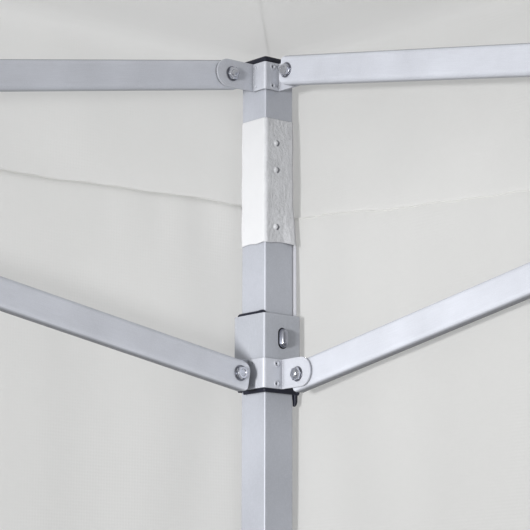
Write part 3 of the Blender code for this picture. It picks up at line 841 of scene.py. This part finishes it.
def nut_set(y0, out, rot, stub=0.0012):
    """Washer, hexagon nut and the thread's end, from plane y0 outwards along sign out."""
    s = out
    me1 = washer(0.0062, y0, y0 + s * 0.0006)
    rows = [hex_ring(0.0052, y0 + s * 0.0006, rot, 0.9), hex_ring(0.0057, y0 + s * 0.0010, rot, 0.0), hex_ring(0.0057, y0 + s * 0.0030, rot, 0.0),
            hex_ring(0.0054, y0 + s * 0.0036, rot, 0.95), hex_ring(0.0036, y0 + s * 0.0036, rot, 1.0), hex_ring(0.0033, y0 + s * 0.0030, rot, 1.0)]
    me2 = finish_mesh(loft(rows), "nut", 30)
    rows = []
    steps = 8
    for i in range(steps + 1):
        y = y0 + s * (0.0026 + (stub + 0.0010) * i / steps)
        r = 0.0029 if i % 2 == 0 else 0.0026
        if i == steps:
            r = 0.0020
        rows.append([(r * math.cos(2 * math.pi * q / 20), y, r * math.sin(2 * math.pi * q / 20)) for q in range(20)])
    me3 = finish_mesh(loft(rows), "thread", 30)
    return [me1, me2, me3]


def head_set(y0, out, rot):
    """Washer and a flanged hexagon bolt head with a dished top."""
    s = out
    me1 = washer(0.0064, y0, y0 + s * 0.0007)
    rows = [hex_ring(0.0056, y0 + s * 0.0007, rot, 1.0), hex_ring(0.0058, y0 + s * 0.0011, rot, 1.0), hex_ring(0.0052, y0 + s * 0.0015, rot, 0.0),
            hex_ring(0.0052, y0 + s * 0.0034, rot, 0.0), hex_ring(0.0049, y0 + s * 0.0040, rot, 0.8), hex_ring(0.0036, y0 + s * 0.0040, rot, 1.0),
            hex_ring(0.0030, y0 + s * 0.0034, rot, 1.0), hex_ring(0.0010, y0 + s * 0.0033, rot, 1.0)]
    return [me1, finish_mesh(loft(rows), "head", 32)]


def bolts_mesh(pin):
    ident = Matrix.Identity(4)
    parts = []
    T = BAR_T
    for i, x in enumerate((0.0, BAR_LEN)):
        mv = Matrix.Translation((x, 0, 0))
        for me in head_set(-T, -1, 0.3 + i) + nut_set(EAR_FAR - GAP, 1, 0.7 + 0.4 * i):
            parts.append((me, mv))
        shank = [[(0.0029 * math.cos(2 * math.pi * q / 18), y, 0.0029 * math.sin(2 * math.pi * q / 18)) for q in range(18)] for y in (-T, EAR_FAR)]
        parts.append((finish_mesh(loft(shank), "shank", 40), mv))
    if pin:
        mv = Matrix.Translation((BAR_LEN / 2, 0, 0))
        far = EAR_FAR + T
        for me in head_set(-T, -1, 0.2) + nut_set(far, 1, 0.5):
            parts.append((me, mv))
        parts.append((washer(0.0075, -0.0001, EAR_FAR - 0.0001), mv))
        shank = [[(0.0029 * math.cos(2 * math.pi * q / 18), y, 0.0029 * math.sin(2 * math.pi * q / 18)) for q in range(18)] for y in (-T, far + 0.001)]
        parts.append((finish_mesh(loft(shank), "shank", 40), mv))
    me = joined(parts, "bolts")
    me.set_sharp_from_angle(angle=math.radians(32))
    return me


bolts_p, bolts_h = bolts_mesh(True), bolts_mesh(False)


def place_bar(node, pin, start, end, partner, k):
    d = (Vector(end) - Vector(start)).normalized()
    n = Vector(partner)
    m = Matrix((d, n, d.cross(n))).transposed().to_4x4()
    m.translation = Vector(start)
    w = turn(k) @ m
    me = BAR_MESH[m.col[2].z > 0, end[2] > start[2], pin]
    o = obj(node.replace("truss_bar", "bar").replace("roof_truss", "roof_bar") + "_tube", me, BAR)
    o.matrix_world = w
    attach(o, node)
    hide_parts(node)
    b = obj(node.replace("truss_bar", "bar").replace("roof_truss", "roof_bar") + "_bolts", bolts_p if pin else bolts_h, BOLT)
    if len(b.data.materials) < 2:
        b.data.materials.append(WASH)
    b.matrix_world = w
    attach(b, node)


for k, side in enumerate(SIDES):
    near, far = CORNERS[k], CORNERS[(k + 3) % 4]
    c, m = HALF - PC, PM
    n_in, n_out = HALF - EAR_T - GAP, HALF + GAP
    place_bar(f"truss_bar_{side}_{near}_upper", True, (n_in, m, LOW), (n_in, c, TOP), (1, 0, 0), k)
    place_bar(f"truss_bar_{side}_{near}_lower", False, (n_out, m, TOP), (n_out, c, LOW), (-1, 0, 0), k)
    place_bar(f"truss_bar_{side}_{far}_upper", False, (n_out, -m, LOW), (n_out, -c, TOP), (-1, 0, 0), k)
    place_bar(f"truss_bar_{side}_{far}_lower", True, (n_in, -m, TOP), (n_in, -c, LOW), (1, 0, 0), k)
    e = EAR_T / 2 + GAP
    place_bar(f"roof_truss_{side}_upper", True, (m, -e, TOP), (c, -e, LOW), (0, 1, 0), k)
    place_bar(f"roof_truss_{side}_lower", False, (m, e, LOW), (c, e, TOP), (0, -1, 0), k)

# ------------------------------------------------------------------ middle brackets and hubs
def ear_plate(root, pivot, ccw):
    """A flat ear with a round end along +X, thickness centred on y = 0."""
    me, _ = bent_sheet([(root, 0.0), (pivot + 0.0155, 0.0)], [], 0.0119, EAR_T, ends=(False, True), step=0.0015)
    return me


def tube_block():
    return hollow(rsquare(0.016, 0.0030, 5), rsquare(0.014, 0.0016, 5), -0.012, 0.012, "block", 0.0004)


ear30 = ear_plate(0.0150, PM, 0)
ear40 = ear_plate(0.0150, PC, 0)
blk = tube_block()
RZ = lambda a: Matrix.Rotation(math.radians(a), 4, "Z")
mid = joined([(blk, Matrix.Identity(4)), (ear30, Matrix.Translation((-0.001, 0, 0)) @ RZ(90)), (ear30, Matrix.Translation((-0.001, 0, 0)) @ RZ(-90)), (ear40, RZ(180))], "mid_bracket")
mid.set_sharp_from_angle(angle=math.radians(45))
mid = weighted(mid)
for lvl, z in (("top", TOP), ("bottom", LOW)):
    replace4(f"tee_bracket_@S_{lvl}", f"mid_bracket_@S_{lvl}", mid, SHEET, [f"mid_bracket_@S_{lvl}"], Matrix.Translation((HALF, 0, z)))
hubm = joined([(blk, Matrix.Identity(4))] + [(ear30, RZ(a)) for a in (0, 90, 180, 270)], "hub")
hubm.set_sharp_from_angle(angle=math.radians(45))
hubm = weighted(hubm)
o = obj("lower_hub_cross", hubm, SHEET)
o.location = (0, 0, LOW)
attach(o, "hub_bottom")
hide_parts("hub_bottom")
o = obj("upper_hub_cross", hubm, SHEET)
o.location = (0, 0, TOP)
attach(o, "hub_top")
mt = hub_hi.z - TOP
mast = finish_mesh(lathe([(0, -0.009), (0.0113, -0.009), (0.0121, -0.0095), (0.0125, -0.0090), (0.0125, mt - 0.055)], 32), "mast", 50)
o = obj("centre_mast", mast, TUBE)
o.location = (0, 0, TOP)
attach(o, "hub_top")
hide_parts("hub_top_mast")
capm = finish_mesh(lathe([(0, mt - 0.070), (0.0140, mt - 0.070), (0.0148, mt - 0.068), (0.0150, mt - 0.030), (0.0190, mt - 0.022), (0.0385, mt - 0.0165),
                          (0.0400, mt - 0.0150), (0.0396, mt - 0.0125), (0.0330, mt - 0.0075), (0.0200, mt - 0.0022), (0, mt - 0.0003)], 40), "mast_cap", 50)
o = obj("mast_cap", capm, BLACKC)
o.location = (0, 0, TOP)
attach(o, "hub_top")
bush = hollow(rsquare(0.0137, 0.0012, 5), [(0.0128 * math.cos(math.radians(-90 + 15 * i)), 0.0128 * math.sin(math.radians(-90 + 15 * i))) for i in range(24)], -0.013, 0.014, "bush", 0.0003)
o = obj("mast_bush", bush, BLACK)
o.location = (0, 0, TOP)
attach(o, "hub_top")

# ------------------------------------------------------------------ cloth helpers
def uv_layer(me, uvs):
    lay = me.uv_layers.new(name="UVMap")
    for loop in me.loops:
        lay.data[loop.index].uv = uvs[loop.vertex_index]


def drape(me, pins, frames, slack, tension=18.0, bend=0.6, mass=0.22):
    """Hangs a sheet as cloth: pinned points stay, the rest falls and settles."""
    o = bpy.data.objects.new("drape", me)
    scene.collection.objects.link(o)
    g = o.vertex_groups.new(name="pin")
    for w in sorted(set(pins.values())):
        g.add([i for i, q in pins.items() if q == w], w, "REPLACE")
    mod = o.modifiers.new("drape", "CLOTH")
    s = mod.settings
    s.quality = 7
    s.mass = mass
    s.tension_stiffness = s.compression_stiffness = tension
    s.shear_stiffness = tension * 0.5
    s.bending_stiffness = bend
    s.tension_damping = s.compression_damping = 12
    s.shear_damping = 8
    s.bending_damping = 1.0
    s.air_damping = 4
    s.vertex_group_mass = "pin"
    s.pin_stiffness = 1.0
    s.shrink_min = -slack
    mod.collision_settings.use_self_collision = False
    mod.collision_settings.use_collision = False
    mod.point_cache.frame_start, mod.point_cache.frame_end = 1, frames
    for f in range(1, frames + 1):
        scene.frame_set(f)
    out = bpy.data.meshes.new_from_object(o.evaluated_get(bpy.context.evaluated_depsgraph_get()))
    bpy.data.objects.remove(o)
    scene.frame_set(1)
    return out


def smooth_grid(me, level=1):
    return bake(me, [("SUBSURF", dict(levels=level, render_levels=level, boundary_smooth="PRESERVE_CORNERS"))]) if level else me


# ------------------------------------------------------------------ canopy: roof and valance in one sheet
E = can_hi.x - 0.0012
EAVE_Z, PEAK, VAL_Z = 2.007, can_hi.z - 0.0012, can_lo.z
M = 46
ROWS = 8
WN = 0.0226                      # how far outside the leg axis the wall hangs
WL = HALF + WN + 1.490
WB = wal_lo.z


def droop(s, side):
    """Drop of the wall's top edge below the top pivots, at distance s from the corner."""
    far = WL - s
    if side == "north":
        f = lambda q: 0.045 * (1 - math.exp(-(0.015 * q + 0.033 * q * q) / 0.045))
        z = 0.1027 + min(f(s), f(far) + 0.004)
    else:
        f = lambda q: 0.090 * (1 - math.exp(-0.092 * q / 0.090))
        z = 0.1120 + min(f(s), f(far) + 0.004)
    # small scallops between the places it is fastened
    z += 0.0011 * math.sin(s * 47 + 0.7) * math.sin(s * 13 + (1.1 if side == "north" else 0.2)) + 0.0004 * math.sin(s * 151)
    return -z


def valance_foot(i, j):
    """Height of the valance's lower edge, so that it laps the walls by a few millimetres."""
    if i == M or j == M:
        side, q = ("east", E * j / M) if i == M else ("north", E * i / M)
        s_ = min(max(HALF + WN - q, 0.0), WL)
        return TOP + droop(s_, side) - 0.0009
    q = (E * j / M) if i == -M else (E * i / M)
    return TOP - 0.1180 - 0.035 * math.cos(math.pi / 2 * min(1, abs(q) / E))


def canopy_mesh():
    verts, uvs, index, pins = [], [], {}, {}
    for i in range(-M, M + 1):
        for j in range(-M, M + 1):
            m = max(abs(i), abs(j)) / M
            along = min(abs(i), abs(j)) / max(abs(i), abs(j), 1)
            z = EAVE_Z + (PEAK - EAVE_Z) * (1 - m) - 0.022 * math.sin(math.pi * m) * (1 - along ** 2 * 0.6)
            index[i, j] = len(verts)
            verts.append((E * i / M, E * j / M, z))
            uvs.append((E * i / M, E * j / M) if abs(i) > abs(j) else (E * j / M, E * i / M))
            if m <= 0.03 or m == 1 or abs(i) == abs(j):
                pins[index[i, j]] = 1.0
    faces = []
    for i in range(-M, M):
        for j in range(-M, M):
            a, b, c, d = index[i, j], index[i + 1, j], index[i + 1, j + 1], index[i, j + 1]
            ci, cj = i + 0.5, j + 0.5
            if abs(ci) == abs(cj):
                if ci * cj > 0:
                    faces += [(a, b, c), (a, c, d)]
                else:
                    faces += [(a, b, d), (b, c, d)]
            else:
                faces.append((a, b, c, d))
    loop = [(i, -M) for i in range(-M, M)] + [(M, j) for j in range(-M, M)] + [(i, M) for i in range(M, -M, -1)] + [(-M, j) for j in range(M, -M, -1)]
    prev = [index[q] for q in loop]
    for r in range(1, ROWS + 1):
        row = []
        t = r / ROWS
        for n_, (i, j) in enumerate(loop):
            x, y, _ = verts[index[i, j]]
            z = EAVE_Z + (valance_foot(i, j) - EAVE_Z) * t
            row.append(len(verts))
            verts.append((x, y, z))
            uvs.append((n_ / (8 * M) * 8 * E, z))
            if (abs(i) == M and abs(j) == M) or (r == ROWS and (i == M or j == M)):
                pins[row[-1]] = 1.0
        for k in range(len(loop)):
            q = (k + 1) % len(loop)
            faces.append((prev[k], row[k], row[q], prev[q]))
        prev = row
    me = bpy.data.meshes.new("canopy_sheet")
    me.from_pydata(verts, [], faces)
    uv_layer(me, uvs)
    return me, pins, index, loop


def loop_strip(path, width, thick, name, down=None):
    """A flat closed tape along a polyline; at each point (centre, across, normal)."""
    bm = bmesh.new()
    rings = []
    for c, a, n in path:
        c, a, n = Vector(c), Vector(a).normalized(), Vector(n).normalized()
        r = []
        for u, v in ((-1, -0.6), (-0.96, -1), (0.96, -1), (1, -0.6), (1, 0.6), (0.96, 1), (-0.96, 1), (-1, 0.6)):
            r.append(bm.verts.new(c + a * (u * width / 2) + n * (v * thick / 2)))
        rings.append(r)
    for p, q in zip(rings, rings[1:]):
        for i in range(8):
            j = (i + 1) % 8
            bm.faces.new((p[i], p[j], q[j], q[i]))
    bm.faces.new(list(reversed(rings[0])))
    bm.faces.new(rings[-1])
    return finish_mesh(bm, name, 60)


FR = 45
sheet, pins, gi, eave_loop = canopy_mesh()
sheet = drape(sheet, pins, FR, 0.0015, bend=1.0)
co = np.array([v.co for v in sheet.vertices])
NR = (2 * M + 1) ** 2


def roof_point(i, j):
    return Vector(co[gi[i, j]])


LEG_EMPTY = {}
for c in CORNERS:
    e = bpy.data.objects.new("hook_" + c, None)
    scene.collection.objects.link(e)
    sx, sy = (1 if "e" in c else -1), (1 if "n" in c else -1)
    e.location = (sx * HALF, sy * HALF, TOP)
    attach(e, "leg_" + c)
    LEG_EMPTY[c] = (e, sx, sy)


def follow_legs(o):
    """The sheet gathers in plan as the four legs come together; its height stays."""
    pts = np.array([o.matrix_world @ v.co for v in o.data.vertices])
    bpy.context.view_layer.update()
    for c, (e, sx, sy) in LEG_EMPTY.items():
        g = o.vertex_groups.new(name="follow_" + c)
        w = (1 + sx * np.clip(pts[:, 0] / HALF, -1, 1)) * (1 + sy * np.clip(pts[:, 1] / HALF, -1, 1)) / 4
        # the peak itself stays with the mast
        w = w * (1 - np.exp(-(np.maximum(abs(pts[:, 0]), abs(pts[:, 1])) / 0.13) ** 2))
        for i, q in enumerate(w):
            if q > 0.0005:
                g.add([i], float(q), "REPLACE")
        m = o.modifiers.new("follow_" + c, "HOOK")
        m.object = e
        m.vertex_group = g.name
        m.falloff_type = "NONE"
        m.matrix_inverse = e.matrix_world.inverted() @ o.matrix_world


canopy_me = smooth_grid(sheet, 1)
canopy_me.shade_smooth()
canopy = obj("canopy_sheet", canopy_me, CLOTH)
canopy.data.materials.clear()
canopy.data.materials.append(CLOTH)
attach(canopy, "hub_top")
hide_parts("canopy")
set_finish(canopy, "canopy_fabric")

# seam tapes under the four hips, and a doubled hem round the valance foot
soft = [canopy]
for k, c in enumerate(CORNERS):
    sx, sy = LEG_EMPTY[c][1:]
    path = []
    for i in range(3, M + 1):
        q = roof_point(sx * i, sy * i)
        path.append((q - Vector((0, 0, 0.0009)), Vector((-sy, sx, 0)), (0, 0, 1)))
    t = obj(f"hip_seam_{c}", loop_strip(path, 0.0006, 0.0005, "hip"), TAPE)
    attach(t, "hub_top")
    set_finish(t, "canopy_fabric")
    soft.append(t)


def ring_tape(level_from, drop, width, thick, off, name):
    path = []
    base = NR + (ROWS - 1) * len(eave_loop)
    n = len(eave_loop)
    pts = [Vector(co[base + k]) for k in range(n)]
    for k in range(n + 1):
        q = pts[k % n]
        i, j = eave_loop[k % n]
        nx = (1 if i == M else -1 if i == -M else 0)
        ny = (1 if j == M else -1 if j == -M else 0)
        nn = Vector((nx, ny, 0))
        path.append((q + nn * off + Vector((0, 0, width / 2 - 0.0006)), Vector((0, 0, 1)), nn.normalized()))
    return loop_strip(path, width, thick, name)


t = obj("valance_hem", ring_tape(0, 0, 0.0008, 0.0009, 0.0, "hem"), HEMC)
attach(t, "hub_top")
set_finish(t, "canopy_fabric")
soft.append(t)
# round patch over the mast cap
pm = lathe([(0, 0.0), (0.05, 0.0), (0.095, 0.0), (0.0955, 0.0008), (0.095, 0.0014), (0.05, 0.0014), (0, 0.0014)], 40)
for v in pm.verts:
    m_ = max(abs(v.co.x), abs(v.co.y)) / E
    s_ = min(abs(v.co.x), abs(v.co.y)) / max(abs(v.co.x), abs(v.co.y), 1e-9)
    v.co.z += PEAK + 0.0004 - (PEAK - EAVE_Z) * m_ - 0.022 * math.sin(math.pi * m_) * (1 - 0.6 * s_ ** 2)
t = obj("peak_patch", finish_mesh(pm, "patch", 60), CLOTH)
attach(t, "hub_top")
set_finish(t, "canopy_fabric")
soft.append(t)
for o_ in soft:
    follow_legs(o_)

# ------------------------------------------------------------------ two side walls, hung from the valance
def wall(side):
    n_u, n_v = 156, 60
    verts, uvs, pins = [], [], {}
    for i in range(n_u + 1):
        s = WL * i / n_u
        zt = TOP + droop(s, side)
        for j in range(n_v + 1):
            t = j / n_v
            z = zt + (WB - zt) * t
            n = WN + 0.0015 * math.sin(s * 9.0) * t + 0.0009 * math.sin(s * 23 + 2 * t) * math.sin(t * 5)
            verts.append((s, n, z))
            uvs.append((s, z))
            if j == 0 or i == 0 or i == n_u:
                pins[len(verts) - 1] = 1.0
    faces = []
    R = n_v + 1
    for i in range(n_u):
        for j in range(n_v):
            a = i * R + j
            faces.append((a, a + R, a + R + 1, a + 1))
    me = bpy.data.meshes.new("wall")
    me.from_pydata(verts, [], faces)
    uv_layer(me, uvs)
    me = drape(me, pins, FR, 0.0022, tension=22, bend=1.5)
    me = smooth_grid(me, 1)
    pts = np.array([v.co for v in me.vertices])
    s, n, z = pts[:, 0].copy(), pts[:, 1].copy(), pts[:, 2].copy()
    # the sheet lies against the frame on its inner side
    d = n - WN
    n = WN + np.where(d < 0, -0.0008 * (1 - np.exp(d / 0.0008)), d)
    n = WN + np.clip(n - WN, -0.001, 0.03) 
    # puckers just below the hem stitching
    zt = np.array([TOP + droop(q, side) for q in s])
    below = np.clip(zt - z, 0, None)
    ph = 0.0 if side == "north" else 1.7
    puck = (np.sin(s * 190 + ph + 2.2 * np.sin(s * 41)) * 0.5 + np.sin(s * 118 + 3 * ph) * 0.8) * (0.55 + 0.45 * np.sin(s * 17 + ph))
    n += 0.0010 * puck * np.exp(-((below - 0.016) / 0.017) ** 2)
    if side == "east":
        out = np.stack([HALF + n, HALF + WN - s, z], 1)
    else:
        out = np.stack([HALF + WN - s, HALF + n, z], 1)
    me.vertices.foreach_set("co", out.astype(np.float32).ravel())
    me.update()
    if side == "north":
        me.flip_normals()
    me.shade_smooth()
    me.materials.clear()
    return me, n_u


for side in ("east", "north"):
    me, n_u = wall(side)
    w = obj(f"wall_panel_{side}", me, WALLC)
    tapes = []
    # hem band along the top, and along the foot
    for nm, zf, wd, th, nudge in (("top", lambda s: TOP + droop(s, side), 0.0008, 0.0009, -0.0003), ("foot", lambda s: WB + 0.0, 0.030, 0.0020, 0.0)):
        path = []
        K = 420
        zs = np.array([v.co.z for v in me.vertices])
        along = np.array([(HALF + WN - (v.co.y if side == "east" else v.co.x)) for v in me.vertices])
        nn_ = np.array([((v.co.x if side == "east" else v.co.y) - HALF) for v in me.vertices])
        # sample the sheet's own edge
        edge = np.array([zf(q) for q in along])
        sel = np.abs(zs - edge) < (0.004 if nm == "top" else 0.03)
        sa, sn, sz = along[sel], nn_[sel], zs[sel]
        o_ = np.argsort(sa)
        sa, sn, sz = sa[o_], sn[o_], sz[o_]
        for i in range(K + 1):
            s_ = WL * i / K
            q = min(max(s_, 0.0005), WL - 0.0005)
            nv = float(np.interp(q, sa, sn))
            zz = (zf(q) - wd / 2 + 0.0004) if nm == "top" else float(np.interp(q, sa, sz)) + wd / 2
            if side == "east":
                c, nrm = (HALF + nv + nudge, HALF + WN - q, zz), (1, 0, 0)
            else:
                c, nrm = (HALF + WN - q, HALF + nv + nudge, zz), (0, 1, 0)
            path.append((c, (0, 0, 1), nrm))
        tapes.append(obj(f"wall_{side}_{nm}_hem", loop_strip(path, wd, th, "hem"), HEMC if nm == "top" else WALLC))
    for o_ in [w] + tapes:
        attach(o_, "leg_ne")
        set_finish(o_, "wall_fabric")
        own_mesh(o_)
    if side == "east":
        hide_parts("side_walls")

# corner where the two walls meet: a sewn edge binding behind the leg
path = []
for i in range(81):
    z = WB + (TOP - 0.104 - WB) * i / 80
    path.append(((HALF + WN - 0.0004, HALF + WN - 0.0004, z), (1, -1, 0), (1, 1, 0)))
t = obj("wall_corner_binding", loop_strip(path, 0.012, 0.0016, "binding"), TAPE)
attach(t, "leg_ne")
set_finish(t, "wall_fabric")

# ------------------------------------------------------------------ finish slots for the metal and plastic pieces
SLOTS = {"leg_tube": "leg_steel", "top_bracket": "bracket_steel", "leg_cap_cover": "cap_plastic", "hook_loop_strip": "canopy_fabric", "lower_leg": "foot_steel",
         "slider_sleeve": "slider_steel", "slider_bracket": "bracket_steel", "liner_insert": "liner_plastic", "snap_button_nose": "button_steel",
         "bar_": "truss_steel", "roof_bar_": "truss_steel", "tee_bracket": "bracket_steel", "lower_hub": "bracket_steel", "upper_hub": "bracket_steel",
         "centre_mast": "leg_steel", "mast_cap": "cap_plastic", "mast_bush": "liner_plastic"}
for o_ in scene.objects:
    for k_, v_ in SLOTS.items():
        if o_.type == "MESH" and o_.name.startswith(k_) and "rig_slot" not in o_:
            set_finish(o_, v_)

# ------------------------------------------------------------------ stage, light, camera
bm = bmesh.new()
bmesh.ops.create_grid(bm, x_segments=1, y_segments=1, size=40)
floor_me = bpy.data.meshes.new("floor")
bm.to_mesh(floor_me)
bm.free()
fl_n = Nodes("floor_paint")
fl_n.p.inputs["Base Color"].default_value = (0.74, 0.74, 0.73, 1)
fl_n.p.inputs["Roughness"].default_value = 0.9
floor = obj("floor", floor_me, fl_n.m)
floor.location.z = -0.0005

WORLD_BASE, WORLD_EAST, WORLD_NORTH, WORLD_UP = 0.04, 0.58, 1.40, 0.79
scene.view_settings.view_transform = "Standard"
world = bpy.data.worlds.new("studio")
scene.world = world
world.use_nodes = True
wt = world.node_tree
bg = wt.nodes["Background"]
# daylight from outside the two walls and above the roof; pale for the camera itself
tc = wt.nodes.new("ShaderNodeTexCoord")
sp = wt.nodes.new("ShaderNodeSeparateXYZ")
wt.links.new(tc.outputs["Generated"], sp.inputs[0])


def wmath(op, a, b=0.0, clamp=False):
    n = wt.nodes.new("ShaderNodeMath")
    n.operation = op
    n.use_clamp = clamp
    for i, v in enumerate((a, b)):
        if isinstance(v, (int, float)):
            n.inputs[i].default_value = v
        else:
            wt.links.new(v, n.inputs[i])
    return n.outputs[0]


val = WORLD_BASE
for axis_, weight_ in zip((0, 1, 2), (WORLD_EAST, WORLD_NORTH, WORLD_UP)):
    lobe = wmath("POWER", wmath("MAXIMUM", sp.outputs[axis_], 0.0), 2.0)
    val = wmath("ADD", val, wmath("MULTIPLY", lobe, weight_))
lp = wt.nodes.new("ShaderNodeLightPath")
mixn = wt.nodes.new("ShaderNodeMix")
mixn.data_type = "FLOAT"
wt.links.new(lp.outputs["Is Camera Ray"], mixn.inputs[0])
wt.links.new(val, mixn.inputs[2])
mixn.inputs[3].default_value = 0.86
bg.inputs["Color"].default_value = (0.99, 0.992, 1.0, 1)
wt.links.new(mixn.outputs[0], bg.inputs["Strength"])


# soft key from outside the two open sides, low and a little off the wall's own direction
KEY_AZ, KEY_D = math.radians(19.0), 9.0
key_d = bpy.data.lights.new("key_west", "SPOT")
key_d.energy = 4550
key_d.shadow_soft_size = 0.75
key_d.spot_size = math.radians(14.5)
key_d.spot_blend = 0.75
key = bpy.data.objects.new("key_west", key_d)
scene.collection.objects.link(key)
key.location = (1.45 - KEY_D * math.cos(KEY_AZ), 1.45 - KEY_D * math.sin(KEY_AZ), 1.05)
key.rotation_euler = (Vector((1.45, 1.45, 1.90)) - key.location).to_track_quat("-Z", "Y").to_euler()

cam_d = bpy.data.cameras.new("camera")
cam_d.lens = 158.5
cam_d.sensor_width = 36
cam_d.clip_start, cam_d.clip_end = 0.05, 100
cam = bpy.data.objects.new("camera", cam_d)
scene.collection.objects.link(cam)
yaw, pitch, roll = math.radians(49.816), math.radians(10.505), math.radians(0.1)
fw = Vector((math.cos(pitch) * math.cos(yaw), math.cos(pitch) * math.sin(yaw), math.sin(pitch)))
right = fw.cross(Vector((0, 0, 1))).normalized()
up = right.cross(fw)
rm = Matrix((right, up, -fw)).transposed().to_4x4() @ Matrix.Rotation(roll, 4, "Z")
cam.matrix_world = Matrix.Translation((0.2593, 0.0367, 1.4773)) @ rm
scene.camera = cam
